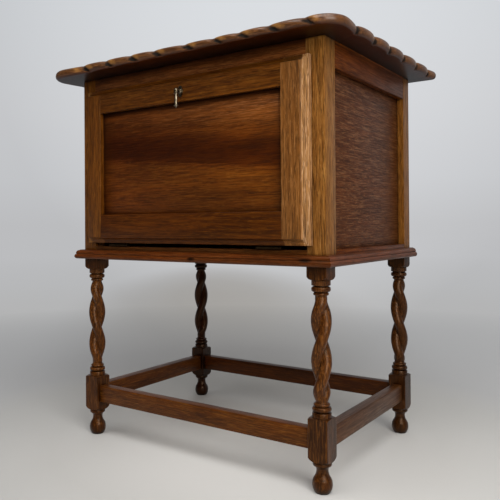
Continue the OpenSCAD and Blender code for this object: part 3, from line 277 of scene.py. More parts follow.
def bend(p0, p1, p2, p3, count):
    points = []
    for i in range(count + 1):
        t = i / count
        u = 1 - t
        points.append(tuple(u ** 3 * a + 3 * u * u * t * b + 3 * u * t * t * c + t ** 3 * d
                            for a, b, c, d in zip(p0, p1, p2, p3)))
    return points


def round_over(r, z, rx, rz, start, stop, count):
    return [(r + rx * math.cos(math.radians(start + (stop - start) * i / count)),
             z + rz * math.sin(math.radians(start + (stop - start) * i / count))) for i in range(count + 1)]


def turned(name, outline, steps=64):
    bpy.ops.object.select_all(action="DESELECT")
    bpy.ops.mesh.primitive_plane_add(size=0.001, location=(0, 0, 0))
    piece = bpy.context.object
    piece.name = name
    bpy.ops.object.mode_set(mode="EDIT")
    bpy.ops.mesh.select_mode(type="VERT")
    bpy.ops.mesh.select_all(action="SELECT")
    bpy.ops.mesh.merge(type="CENTER")
    bpy.ops.transform.translate(value=(outline[0][0] / mm, 0, outline[0][1] / mm))
    for (r0, z0), (r1, z1) in zip(outline, outline[1:]):
        bpy.ops.mesh.extrude_vertices_move(
            TRANSFORM_OT_translate={"value": ((r1 - r0) / mm, 0, (z1 - z0) / mm)})
    bpy.ops.mesh.select_all(action="SELECT")
    bpy.ops.mesh.spin(steps=steps, angle=2 * math.pi, center=(0, 0, 0), axis=(0, 0, 1))
    bpy.ops.mesh.select_all(action="SELECT")
    bpy.ops.mesh.remove_doubles(threshold=0.000005)
    bpy.ops.mesh.normals_make_consistent(inside=False)
    bpy.ops.object.mode_set(mode="OBJECT")
    return piece


def squared(piece, half, bottom, top):
    bpy.ops.object.select_all(action="DESELECT")
    bpy.ops.mesh.primitive_cube_add(size=1, location=(0, 0, (bottom + top) / 2 / mm))
    square = bpy.context.object
    bpy.ops.transform.resize(value=(2 * half / mm, 2 * half / mm, (top - bottom) / mm))
    bpy.ops.object.transform_apply(location=True, rotation=True, scale=True)
    bpy.ops.object.mode_set(mode="EDIT")
    pick_upright(square, 0.001)
    bpy.ops.mesh.bevel(offset=block_arris, segments=3, affect="EDGES")
    bpy.ops.object.mode_set(mode="OBJECT")
    select_only(piece)
    cut = piece.modifiers.new("square", "BOOLEAN")
    cut.operation = "INTERSECT"
    cut.solver = "EXACT"
    cut.object = square
    bpy.ops.object.modifier_apply(modifier=cut.name)
    bpy.data.objects.remove(square)
    return piece


leg_bottom = [(0, 0), (11.2, 0)] + bend((12.4, 0.2), (15.4, 4.5), (17.4, 9.5), (17, 15), 8) + \
    bend((16.8, 16.5), (16.2, 27), (10, 26), (10, 38.7), 12)[1:] + \
    bend((10.2, 39.5), (10.5, 43), (13, 43.6), (14, 45), 5) + \
    round_over(14.4, 48.5, 1.7, 3.5, -80, 80, 10) + \
    bend((16.2, 52), (21, 53), (25.4, 56), (26.3, 64), 8) + \
    bend((26.3, 121), (23.8, 124), (20, 125), (16, 125), 8) + \
    [(16, 132.6), (15.6, 133.2), (13.4, 133.6), (12.6, 134.4), (13.4, 135.2)] + \
    round_over(14, 138.9, 2.2, 3.5, -85, 85, 12) + [(12.8, 142.8), (12.0, 143.3)] + \
    round_over(11.6, 146.1, 2.2, 2.6, -80, 80, 8) + \
    bend((11.2, 149), (10.4, 149.4), (10.1, 150.4), (10, 152), 5) + [(10, 155), (0, 155)]
leg_top = [(0, 321), (10, 321), (10, 326.6), (10.4, 327.2)] + \
    round_over(10.8, 330, 2.2, 2.5, -80, 80, 8) + [(11.6, 332.8), (12.2, 333.2), (13.2, 333.6)] + \
    round_over(14, 338, 2.2, 4.0, -85, 85, 12) + \
    [(12.8, 342.6), (12.6, 343.4), (14.6, 344.0), (15.7, 344.4), (16, 345.2)] + \
    bend((16, 353), (21, 353.4), (23.2, 356), (26.3, 361), 8) + [(26.3, 376), (0, 376)]


def twisted(name, hand, start, sides=56, rows=132):
    bpy.ops.object.select_all(action="DESELECT")
    bpy.ops.mesh.primitive_cylinder_add(vertices=sides, radius=neck / mm,
                                        depth=(twist_high - twist_low + 4) / mm,
                                        location=(0, 0, (twist_low + twist_high) / 2 / mm))
    piece = bpy.context.object
    piece.name = name
    bpy.ops.object.transform_apply(location=True, rotation=True, scale=True)
    bpy.ops.object.mode_set(mode="EDIT")
    pick_upright(piece, 0.001)
    bpy.ops.mesh.subdivide(number_cuts=rows)
    bpy.ops.object.mode_set(mode="OBJECT")
    for vertex in piece.data.vertices:
        z = vertex.co.z * mm
        end = min(z - twist_low, twist_high - z) / twist_run_out
        apart = strand_offset * (math.sin(math.pi / 2 * min(1, end)) if end > 0 else 0)
        wind = math.radians(start) + hand * (z - twist_start) * 2 * math.pi / twist_pitch
        around = math.atan2(vertex.co.y, vertex.co.x)
        across = around - wind
        reach = apart * abs(math.cos(across)) + math.sqrt(strand ** 2 - (apart * math.sin(across)) ** 2)
        vertex.co.x = reach / mm * math.cos(around)
        vertex.co.y = reach / mm * math.sin(around)
    return piece


def noise_of(tree, source, scale, detail, rough=0.5, warp=0.0):
    made = node_of(tree, "ShaderNodeTexNoise")
    for label, value in (("Vector", source), ("Scale", scale), ("Detail", detail),
                         ("Roughness", rough), ("Distortion", warp)):
        wire(tree, value, made.inputs[label])
    return made.outputs["Fac"]


def hollows_of(tree, reach):
    made = node_of(tree, "ShaderNodeAmbientOcclusion", samples=6)
    made.inputs["Distance"].default_value = reach
    return made.outputs["AO"]


def oak_figure():
    # Input colours are the ground of the wood, its darker lines and its pale ray flecks.
    group = bpy.data.node_groups.new("oak_figure", "ShaderNodeTree")
    face = group.interface
    face.new_socket("Along", in_out="INPUT", socket_type="NodeSocketVector")
    for label in ("Ground", "Line", "Fleck"):
        face.new_socket(label, in_out="INPUT", socket_type="NodeSocketColor")
    for label in ("Lines", "Flecks", "Bands", "Blotches", "Pores", "Rough"):
        face.new_socket(label, in_out="INPUT", socket_type="NodeSocketFloat").default_value = 0.5
    face.new_socket("Color", in_out="OUTPUT", socket_type="NodeSocketColor")
    face.new_socket("Roughness", in_out="OUTPUT", socket_type="NodeSocketFloat")
    face.new_socket("Height", in_out="OUTPUT", socket_type="NodeSocketFloat")
    given = node_of(group, "NodeGroupInput").outputs
    out = node_of(group, "NodeGroupOutput").inputs
    black, stain = (0.006, 0.002, 0.001, 1), (0.30, 0.24, 0.20, 1)

    def noise(scale, detail, rough, warp=0.0):
        spread = node_of(group, "ShaderNodeMapping")
        spread.inputs["Scale"].default_value = scale
        wire(group, given["Along"], spread.inputs["Vector"])
        return noise_of(group, spread.outputs["Vector"], 1, detail, rough, warp)

    fibre = noise((22, 560, 560), 4, 0.62, 0.3)
    figure = noise((5.5, 130, 130), 4, 0.58, 0.9)
    bands = noise((1.7, 24, 24), 3, 0.5, 0.6)
    pores = noise((48, 620, 620), 2, 0.5)
    rays = noise((62, 520, 520), 2, 0.5, 0.2)
    stains = noise((6, 15, 15), 4, 0.6, 0.8)
    colour = given["Ground"]
    for value, low, high, most, over, way in (
            (bands, 0.40, 0.64, "Bands", given["Line"], "MIX"),
            (figure, 0.44, 0.72, "Lines", given["Line"], "MIX"),
            (fibre, 0.48, 0.38, "Flecks", given["Fleck"], "MIX"),
            (fibre, 0.49, 0.64, "Lines", given["Line"], "MIX"),
            (rays, 0.56, 0.66, "Flecks", given["Fleck"], "MIX"),
            (pores, 0.56, 0.64, "Pores", black, "MIX"),
            (stains, 0.50, 0.72, "Blotches", stain, "MULTIPLY")):
        mask = math_of(group, "MULTIPLY", span_of(group, value, low, high), given[most])
        colour = mix_of(group, mask, colour, over, way)
    wire(group, colour, out["Color"])
    wire(group, math_of(group, "ADD", span_of(group, fibre, 0.3, 0.7, -0.08, 0.12), given["Rough"]),
         out["Roughness"])
    wire(group, math_of(group, "SUBTRACT", fibre, pores), out["Height"])
    return group


figure_group = oak_figure()


def oak(name, grain, ground, line, fleck, lines=0.6, flecks=0.2, bands=0.5, blotches=0.4, pores=0.4,
        rough=0.38, offset=(0, 0, 0), shine=0.3, tint=(1, 0.6, 0.3), gloss=0.0, grime_and_shade=0.7, reach=0.006):
    finish = bpy.data.materials.new(name)
    finish.use_nodes = True
    tree = finish.node_tree
    shader = tree.nodes["Principled BSDF"].inputs
    board = node_of(tree, "ShaderNodeMapping")
    board.inputs["Location"].default_value = offset
    board.inputs["Rotation"].default_value = {"x": (0, 0, 0), "y": (0, 0, math.pi / 2),
                                              "z": (0, math.pi / 2, 0)}[grain]
    wire(tree, object_of(tree), board.inputs["Vector"])
    wood = node_of(tree, "ShaderNodeGroup", node_tree=figure_group)
    for label, value in (("Along", board.outputs["Vector"]), ("Ground", (*ground, 1)), ("Line", (*line, 1)),
                         ("Fleck", (*fleck, 1)), ("Lines", lines), ("Flecks", flecks), ("Bands", bands),
                         ("Blotches", blotches), ("Pores", pores), ("Rough", rough)):
        wire(tree, value, wood.inputs[label])
    # Ambient occlusion darkens hollows, corners and the faces under other parts: painted shade, with some
    # grime.
    hollow_grime_and_shade = span_of(tree, hollows_of(tree, reach), 0.30, 0.78, grime_and_shade, 0.0)
    relief = node_of(tree, "ShaderNodeBump")
    for label, value in (("Strength", 0.35), ("Distance", 0.0006), ("Height", wood.outputs["Height"])):
        wire(tree, value, relief.inputs[label])
    for label, value in (
            ("Base Color", mix_of(tree, hollow_grime_and_shade, wood.outputs["Color"], (0.08, 0.05, 0.04, 1), "MULTIPLY")),
            ("Roughness", wood.outputs["Roughness"]), ("Normal", relief.outputs["Normal"]),
            ("Specular IOR Level", shine), ("Specular Tint", (*tint, 1)), ("Coat Weight", gloss),
            ("Coat Roughness", 0.18)):
        wire(tree, value, shader[label])
    return finish


def toned_by_board_and_light(tones, red, green, blue):
    # Each piece's tone is partly the shade of its own board and partly painted light and shade,
    # darker where less light reaches it.
    made = dict(tones)
    for part in ("ground", "line", "fleck"):
        made[part] = tuple(a * b for a, b in zip(tones[part], (red, green, blue)))
    return made


def opened(finish):
    # Gives the tree of a finish, the inputs of its shader and the colour it has so far.
    shader = finish.node_tree.nodes["Principled BSDF"].inputs
    return finish.node_tree, shader, shader["Base Color"].links[0].from_socket


def graded(finish, axis, low, high, stops, slant=0.0):
    # Painted light and shade, a pale line and the shades of joined boards change along one axis of
    # the piece.
    tree, shader, ground = opened(finish)
    axes = axes_of(tree, object_of(tree))
    along = math_of(tree, "MULTIPLY_ADD", axes["X"], slant, axes[axis])
    wire(tree, toned(tree, ground, ramp_of(tree, span_of(tree, along, low, high), stops)),
         shader["Base Color"])
    return finish


leg_tones = dict(ground=(0.042, 0.010, 0.0005), line=(0.008, 0.002, 0.0004), fleck=(0.17, 0.060, 0.012),
                 lines=0.6, flecks=0.4, bands=0.5, blotches=1.0, gloss=0.05, tint=(1, 0.60, 0.34), shine=0.30,
                 rough=0.32, grime_and_shade=1.0, reach=0.020)
# Painted light: the twist between the blocks is painted lighter.
leg_twist_painted_light = ("Z", 0.0, 0.4, [(0.0, (1, 1, 1)), (0.33, (0.9, 0.9, 0.9)), (0.39, (1.45, 1.5, 1.6)),
                            (0.80, (1.45, 1.5, 1.6)), (0.86, (1.1, 1.1, 1.1)), (1.0, (1, 1, 1))])
foot_pattern = squared(turned("leg_foot", leg_bottom), block_half, -1, 154)
cap_pattern = squared(turned("leg_cap", leg_top), block_half, 320, floor_to_body * mm)


def copy_of(pattern):
    made = pattern.copy()
    made.data = pattern.data.copy()
    bpy.context.collection.objects.link(made)
    return made


# Each leg's tone is partly its board and partly painted light and shade: the back legs are painted darker and
# the front left one lighter.
for corner, hand, start, board_end, board_and_light_shade in (
        ("front_left", -1, 55, 0, (1.2, 1.2, 1.2)), ("front_right", 1, 130, 0.4, (1, 1, 1)),
        ("back_left", 1, 25, 0.8, (0.25, 0.15, 0.1)), ("back_right", -1, 45, 1.2, (0.6, 0.6, 0.65))):
    node = "leg_" + corner
    finish = oak("leg_oak_" + corner, "z", offset=(0, 0, board_end), **toned_by_board_and_light(leg_tones, *board_and_light_shade))
    low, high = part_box(node)
    foot, cap = copy_of(foot_pattern), copy_of(cap_pattern)
    rope = twisted("turned_leg_" + corner + "_twist", hand, start)
    bpy.ops.object.select_all(action="DESELECT")
    for piece in (foot, cap, rope):
        piece.select_set(True)
    bpy.context.view_layer.objects.active = foot
    bpy.ops.object.join()
    foot.name = "turned_leg_" + corner
    bpy.ops.transform.translate(value=((low.x + high.x) / 2, (low.y + high.y) / 2, 0))
    bpy.ops.object.transform_apply(location=True, rotation=True, scale=True)
    bpy.ops.object.shade_smooth_by_angle(angle=math.radians(34))
    foot.data.materials.append(graded(finish, *leg_twist_painted_light))
    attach(foot, "cabinet")
    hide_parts(node)
for pattern in (foot_pattern, cap_pattern):
    bpy.data.objects.remove(pattern)

# Stretchers. Four straight lengths of oak, tenoned into the leg blocks, with their upper arrises
# worn by feet. All joinery of the cabinet has its arrises eased with a few strokes of a plane.
def eased(node, name, body, finish, arris=0.0008, shortest=0.025):
    piece = bpy.data.objects.new(name, nodes[node].data.copy())
    piece.data.materials.clear()
    bpy.context.collection.objects.link(piece)
    select_only(piece)
    bpy.ops.object.mode_set(mode="EDIT")
    bpy.ops.mesh.select_mode(type="EDGE")
    bpy.ops.mesh.select_all(action="SELECT")
    bpy.ops.mesh.remove_doubles(threshold=0.000003)
    bpy.ops.mesh.dissolve_limited(angle_limit=math.radians(0.3))
    bpy.ops.mesh.select_all(action="DESELECT")
    form = bmesh.from_edit_mesh(piece.data)
    for edge in form.edges:
        if len(edge.link_faces) == 2 and edge.calc_length() > shortest:
            edge.select = edge.calc_face_angle_signed(0) > math.radians(40)
    bmesh.update_edit_mesh(piece.data)
    bpy.ops.mesh.bevel(offset=arris, segments=2, affect="EDGES", clamp_overlap=False)
    bpy.ops.object.mode_set(mode="OBJECT")
    bpy.ops.object.shade_smooth_by_angle(angle=math.radians(30))
    piece.data.materials.append(finish)
    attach(piece, body)
    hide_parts(node)


stretcher_tones = dict(ground=(0.088, 0.021, 0.001), line=(0.022, 0.005, 0.001), fleck=(0.17, 0.065, 0.010),
                       lines=0.7, flecks=0.4, bands=0.5, blotches=0.6, gloss=0.05, tint=(1, 0.6, 0.35),
                       shine=0.3)
# Each stretcher's tone is partly its board and partly painted light and shade.
for side, grain, board_and_light_shade in (("front", "x", (1, 1, 1)), ("back", "x", (0.55, 0.42, 0.3)),
                           ("left", "y", (0.95, 0.9, 0.8)), ("right", "y", (0.8, 1.0, 2.6))):
    eased("stretcher_" + side, "planed_stretcher_" + side, "cabinet",
          oak("stretcher_oak_" + side, grain, **toned_by_board_and_light(stretcher_tones, *board_and_light_shade)), arris=0.0011)

# Posts. Four square lengths of oak, grooved for the panels and mortised for the rails. They show a
# straight, flecked grain, and those in front are the lightest wood on the body. Each post's tone is
# partly its board and partly painted light and shade; the front left post is painted darker as
# painted shade.
post_tones = dict(ground=(0.255, 0.096, 0.018), line=(0.065, 0.020, 0.004), fleck=(0.45, 0.22, 0.065),
                  lines=0.65, flecks=0.35, bands=0.3, blotches=0.2, pores=0.55)
for index, (corner, board_and_light_shade) in enumerate((("front_left", (0.62, 0.5, 0.25)), ("front_right", (1, 1, 0.85)),
                                         ("back_left", (0.8, 0.75, 0.5)), ("back_right", (0.85, 0.8, 0.6)))):
    eased("post_" + corner, "planed_post_" + corner, "cabinet",
          oak("post_oak_" + corner, "z", offset=(0.3 * index, 0.11 * index, 0.07 * index),
              **toned_by_board_and_light(post_tones, *board_and_light_shade)))

# Rails of the body. They join the posts at the top and at the foot, flush with the posts outside.
# The front top rail is painted darker towards the top board, as painted shadow under its overhang,
# and a pale line runs along the side rails beneath it.
rail_tones = dict(ground=(0.120, 0.032, 0.004), line=(0.028, 0.007, 0.001), fleck=(0.22, 0.085, 0.015),
                  lines=0.75, flecks=0.25, bands=0.5, blotches=0.35)
front_rail_tones = {**toned_by_board_and_light(rail_tones, 2.0, 2.05, 3.0), "reach": 0.035, "grime_and_shade": 0.85}
side_rail_tones = {**toned_by_board_and_light(rail_tones, 0.95, 0.7, 0.3), "shine": 0.18}
front_rail_painted_shadow = ("Z", 0.728, 0.756, [(0.0, (1.1, 1.1, 1.1)), (0.4, (0.95, 0.95, 0.95)),
                                       (0.75, (0.55, 0.50, 0.45)), (1.0, (0.30, 0.25, 0.20))])
side_rail_line = ("Z", 0.751, 0.756, [(0.0, (1, 1, 1)), (0.35, (1, 1, 1)), (0.5, (3.6, 4.6, 9.0)),
                                      (1.0, (3.6, 4.6, 9.0))])
for rail, grain, tones in (
        ("front_top_rail", "x", front_rail_tones), ("front_bottom_rail", "x", rail_tones),
        ("back_top_rail", "x", rail_tones), ("back_bottom_rail", "x", rail_tones),
        ("side_top_rail_left", "y", side_rail_tones), ("side_top_rail_right", "y", side_rail_tones),
        ("side_bottom_rail_left", "y", side_rail_tones), ("side_bottom_rail_right", "y", side_rail_tones)):
    finish = oak(rail + "_oak", grain, offset=(0.2, 0.1, 0), **tones)
    if rail.startswith("side_top"):
        graded(finish, *side_rail_line)
    if rail == "front_top_rail":
        graded(finish, *front_rail_painted_shadow)
    eased(rail, "planed_" + rail, "cabinet", finish)

# Side panels. Thin boards with level grain, let into grooves of the posts and rails. They are darker
# and redder than their frames, and full of small pale flecks.
side_panel_tones = dict(ground=(0.080, 0.019, 0.003), line=(0.028, 0.007, 0.002), fleck=(0.18, 0.075, 0.028),
                        lines=0.65, flecks=0.55, bands=0.3, blotches=0.35, shine=0.25, offset=(0.4, 0, 0.2),
                        reach=0.02)
side_panel_finish = oak("panel_oak_side", "y", **side_panel_tones)
for side in ("left", "right"):
    eased("side_panel_" + side, "side_board_" + side, "cabinet", side_panel_finish)

# Back and floor. Sheets of plain plywood, left unpolished. They are let into grooves, the back between
# its posts and rails and the floor between the four lower rails.
sheet_tones = dict(ground=(0.36, 0.235, 0.125), line=(0.22, 0.13, 0.06), fleck=(0.45, 0.32, 0.2),
                   lines=0.4, flecks=0.1, bands=0.4, blotches=0.25, pores=0.2, grime_and_shade=0.5)
for sheet in ("back_panel", "floor_panel"):
    eased(sheet, "plywood_" + sheet, "cabinet", oak("plywood_" + sheet, "x", **sheet_tones))

# Base moulding. A nosing with a small step and an ovolo above it, mitred at the front corners and
# planted on the lower rails. Two dark knots show on the nosing of the front length.
moulding_tones = dict(ground=(0.118, 0.023, 0.002), line=(0.026, 0.006, 0.001), fleck=(0.20, 0.07, 0.015),
                      lines=0.65, flecks=0.2, bands=0.5, blotches=0.6, gloss=0.08, grime_and_shade=0.95, reach=0.005)
knot_depth, knot_height = 0.02, 0.0042
knots = ((0.0166, 0.3830, 0.011), (0.2517, 0.3865, 0.015))
for side, grain in (("front", "x"), ("left", "y"), ("right", "y")):
    finish = oak("moulding_oak_" + side, grain, **moulding_tones)
    if side == "front":
        nosing_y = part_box("base_moulding_front")[0].y
        for knot_x, knot_z, knot_width in knots:
            tree, shader, ground = opened(finish)
            away = oval_of(tree, object_of(tree), (knot_x, nosing_y, knot_z),
                           (knot_width, knot_depth, knot_height))
            wire(tree, toned(tree, ground, ramp_of(tree, away, [
                (0.3, (0.06, 0.05, 0.05)), (0.75, (0.45, 0.40, 0.40)), (1.0, (1, 1, 1))])),
                 shader["Base Color"])
    eased("base_moulding_" + side, "run_moulding_" + side, "cabinet", finish, arris=0.0004)

# Top board. One wide board whose front and side edges are carved by hand into shallow scallops,
# rounded over, and gouged at each notch. Along the front the scallops vary in width and the gouges
# slant. The crests are painted gold, partly wear and partly painted light, the notches black, partly
# dark stain and partly painted shadow, and the underside darker away from its rim as painted shade.
low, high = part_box("top_board")
half_x, front_y, back_y = high.x, low.y, high.y
board_bottom, board_t = low.z, high.z - low.z
side_run, back_run, front_corner, back_corner = 0.096, 0.044, 0.050, 0.010
joints = (-0.229, -0.1665, -0.100, -0.0415, 0.032, 0.096, 0.148, 0.206, 0.271)
side_scallops, scallop_steps, corner_steps, back_steps = 5, 20, 36, 16
notch_cut, gold_width, felt_width = 0.005, 0.011, 0.0065
dip_depth, dip_less_in_front = 0.008, 0.0018
soft_width, softer_in_front = 0.0045, 0.003
notch_dark_width, notch_dark_before, notch_dark_after = 0.0058, 0.0022, 0.0042
gouge_slant, slant_start, slant_end, slant_fade = 0.0125, 0.97, 0.305, 0.035
shallower_above, straighter_below = 0.6, 0.8
sink_depth, sink_less_in_front = 0.0022, 0.0016
wear_depth, wear_at, wear_width = 0.0026, 0.08, 0.15
over_w, over_h, under_w, under_h = 0.010, board_t * 0.54, 0.0075, board_t * 0.42
overhang = 0.049


def clipped(value):
    return max(0.0, min(1.0, value))


def spaced(count):
    return [(1 - math.cos(math.pi * k / count)) / 2 for k in range(count)]


def rim_point(x, y, nx, ny, t, length, gold_at, along_back=None):
    # t runs from 0 to 1 between two notches, and (nx, ny) points into the board.
    gap = min(t, 1 - t) * length
    frontal = max(0, ny)
    softened = math.sqrt(gap ** 2 + (soft_width + softer_in_front * frontal) ** 2)
    dip = (dip_depth - dip_less_in_front * frontal) * max(0, 1 - 2 * softened / length) ** 2.2
    felt = math.exp(-(gap / felt_width) ** 2)
    gold = math.exp(-((t - gold_at) * length / gold_width) ** 2)
    # Dark stain and painted shadow gather round each notch.
    notch_stain_and_shadow = math.exp(-(gap / (notch_dark_width + (notch_dark_before if t < 0.5 else notch_dark_after) * frontal)) ** 2)
    return x + nx * dip, y + ny * dip, nx, ny, dip, felt, gold, notch_stain_and_shadow, along_back


def back_path(inset, along_back):
    # Runs from the last notch of a side round the small back corner, at any distance from the edge.
    radius = max(back_corner - inset, 0)
    straight = back_run - max(back_corner, inset)
    s = along_back * (straight + math.pi / 2 * radius)
    w = max(0, s - straight) / radius if radius else 0
    return (half_x - max(back_corner, inset) + radius * math.cos(w),
            back_y - back_run + min(s, straight) + radius * math.sin(w), w)


def end_rim(run):
    # The right end of the board, from the last joint of the front to the end of the back corner.
    points = []
    straight, quarter = run - front_corner, math.pi * front_corner / 2
    total = straight + quarter + side_run - front_corner
    for t in spaced(corner_steps):
        s = total * t
        if s < straight:
            x, y, w = half_x - run + s, 0, 0
        elif s < straight + quarter:
            w = (s - straight) / front_corner
            x = half_x - front_corner + front_corner * math.sin(w)
            y = front_corner - front_corner * math.cos(w)
        else:
            x, y, w = half_x, front_corner + s - straight - quarter, math.pi / 2
        points.append(rim_point(x, front_y + y, -math.sin(w), math.cos(w), t, total, 0.14))
    step = (back_y - back_run - front_y - side_run) / side_scallops
    for i in range(side_scallops):
        for t in spaced(scallop_steps):
            points.append(rim_point(half_x, front_y + side_run + step * (i + t), -1, 0, t, step, 0.80))
    length = 2 * (back_run - back_corner + math.pi / 2 * back_corner)
    for k in range(back_steps + 1):
        x, y, w = back_path(0, k / back_steps)
        points.append(rim_point(x, y, -math.cos(w), -math.sin(w), k / back_steps / 2, length, 2,
                                k / back_steps))
    return points


rim = [rim_point(left + (right - left) * t, front_y, 0, 1, t, right - left, 0.22)
       for left, right in zip(joints, joints[1:]) for t in spaced(scallop_steps)]
rim += end_rim(half_x - joints[-1])
rim += [(-x, y, -nx, *rest) for x, y, nx, *rest in reversed(end_rim(half_x + joints[0]))][:-1]

# Each step of the edge's profile has its distance from the rim, its height, its share of the gouge
# and the way it faces, from -1 under the board to 1 above it, and more on the flat.
profile = []
for a in (90, 72, 54, 36, 18, 0):
    s, c = math.sin(math.radians(a)), math.cos(math.radians(a))
    profile.append((under_w * (1 - c), under_h * (1 - s), 0.06 + 0.34 * c, -s))
for a in (0, 15, 30, 45, 60, 75, 90):
    s, c = math.sin(math.radians(a)), math.cos(math.radians(a))
    profile.append((over_w * (1 - c), board_t - over_h + over_h * s, 0.40 + 0.60 * s, s))
profile += [(0.014, board_t, 0.75, 1.4), (0.022, board_t, 0.3, 2), (0.036, board_t, 0.0, 2)]

bpy.ops.object.select_all(action="DESELECT")
bpy.ops.mesh.primitive_cylinder_add(vertices=len(rim), radius=0.3, depth=1, location=(0, 0, 0.5))
top = bpy.context.object
top.name = "carved_top_board"
bpy.ops.object.transform_apply(location=True, rotation=True, scale=True)
bpy.ops.object.mode_set(mode="EDIT")
pick_upright(top, 0.1)
bpy.ops.mesh.subdivide(number_cuts=len(profile) - 2)
bpy.ops.object.mode_set(mode="OBJECT")
first_angle = math.atan2(top.data.vertices[0].co.y, top.data.vertices[0].co.x)
gold_wear_and_light, gouge_stain_and_shadow, lit_and_polished = [], [], []
for vertex in top.data.vertices:
    turned_by = math.atan2(vertex.co.y, vertex.co.x) - first_angle
    at = round(turned_by / (2 * math.pi) * len(rim)) % len(rim)
    x, y, nx, ny, dip, felt, gold, notch_stain_and_shadow, along_back = rim[at]
    inset, lift, share, facing = profile[round(vertex.co.z * (len(profile) - 1))]
    frontal = max(0, ny)
    if facing > 0:
        share *= 1 - shallower_above * frontal * min(1, facing)
    depth = inset + share * notch_cut * felt - straighter_below * dip * frontal * clipped(-facing)
    sink = (sink_depth - sink_less_in_front * frontal) * felt * share if facing > 0.6 else 0
    wear = wear_depth * frontal * math.exp(-((x - wear_at) / wear_width) ** 2) * clipped(facing)
    worn_off = wear if facing < 1.9 else 0
    if along_back is None:
        x, y = x + nx * depth, y + ny * depth
        slanted = clipped((slant_end - abs(x)) / slant_fade)
        x += gouge_slant * frontal * max(0, slant_start - max(-1, facing)) * slanted
    else:
        (from_x, from_y, _), (to_x, to_y, _) = back_path(0, along_back), back_path(depth, along_back)
        x, y = x + math.copysign(1, x) * (to_x - from_x), y + to_y - from_y
    vertex.co = (x, y, board_bottom + lift - sink - worn_off)
    on_edge = 0.0 if ny < -0.5 or facing > 1.2 else clipped((facing + 0.98) / 0.35)
    rounded = math.exp(-((facing + 0.25) / 0.72) ** 2)
    # Black in the gouges is dark stain and painted shadow.
    gouge_stain_and_shadow.append(notch_stain_and_shadow * on_edge * (1 - frontal + frontal * rounded))
    # Gold on the crests is wear and painted light.
    gold_wear_and_light.append(gold * clipped((facing + 0.7) / 0.6) if on_edge else 0.0)
    # Painted shade on the faces that turn under the board, which also take less coat.
    lit_and_polished.append(clipped((facing + 0.98) / 0.55) if facing < 1.8 else 0.6)
for label, values in (("gold_wear_and_light", gold_wear_and_light), ("gouge_stain_and_shadow", gouge_stain_and_shadow), ("lit_and_polished", lit_and_polished)):
    top.data.attributes.new(label, "FLOAT", "POINT").data.foreach_set("value", values)
bpy.ops.object.shade_smooth_by_angle(angle=math.radians(50))
top_tones = dict(ground=(0.115, 0.042, 0.011), line=(0.026, 0.007, 0.002), fleck=(0.30, 0.13, 0.04),
                 lines=0.6, flecks=0.25, bands=0.5, blotches=0.5, gloss=0.3, tint=(1, 0.85, 0.75), grime_and_shade=0.6,
                 reach=0.02)
top_finish = oak("top_oak", "x", **top_tones)
tree, shader, ground = opened(top_finish)
spot = object_of(tree)
axes = axes_of(tree, spot)
is_gold_wear_and_light, is_gouge_stain_and_shadow, is_lit_and_polished = [
    node_of(tree, "ShaderNodeAttribute", attribute_name=label).outputs["Fac"]
    for label in ("gold_wear_and_light", "gouge_stain_and_shadow", "lit_and_polished")]
from_rim = math_of(tree, "MINIMUM", span_of(tree, axes["Y"], front_y, front_y + overhang),
                   span_of(tree, math_of(tree, "ABSOLUTE", axes["X"]), half_x, half_x - overhang))
# Painted shade: the underside is painted darker the further it lies from the rim.
underside_painted_shade = ramp_of(tree, from_rim, [
    (0.0, (0.50, 0.25, 0.10)), (0.25, (0.36, 0.16, 0.055)), (0.55, (0.18, 0.07, 0.02)),
    (0.85, (0.07, 0.02, 0.01)), (1.0, (0.05, 0.015, 0.007))])
ground = mix_of(tree, span_of(tree, is_lit_and_polished, 0.0, 1.0, 1.0, 0.0), ground, underside_painted_shade, "MULTIPLY")
patchy = math_of(tree, "MULTIPLY_ADD", noise_of(tree, spot, 110, 4), 1.2, -0.6)
for mark, colour, low_edge, high_edge in ((is_gold_wear_and_light, (0.25, 0.11, 0.025, 1), 0.30, 1.1),
                                          (is_gouge_stain_and_shadow, (0.004, 0.002, 0.001, 1), 0.14, 0.70)):
    broken = math_of(tree, "MULTIPLY", math_of(tree, "ADD", mark, patchy), span_of(tree, mark, 0.0, 0.3))
    ground = mix_of(tree, span_of(tree, broken, low_edge, high_edge), ground, colour)
wire(tree, ground, shader["Base Color"])
wire(tree, span_of(tree, is_gouge_stain_and_shadow, 0.05, 0.5, 0.32, 0.95), shader["Roughness"])
wire(tree, math_of(tree, "MULTIPLY", span_of(tree, is_gouge_stain_and_shadow, 0.05, 0.4, 0.32, 0.0),
                   span_of(tree, is_lit_and_polished, 0.3, 1.0, 0.25, 1.0)), shader["Coat Weight"])
top.data.materials.append(top_finish)
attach(top, "cabinet")
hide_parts("top_board")

# Buttons. Small unpolished blocks of oak under the top board. Each is screwed up into the board and
# holds it down by a tongue that sits in the rail.
eased("top_buttons", "oak_top_buttons", "cabinet",
      oak("inner_oak", "x", **{**sheet_tones, "ground": (0.30, 0.18, 0.09)}), shortest=0.01)

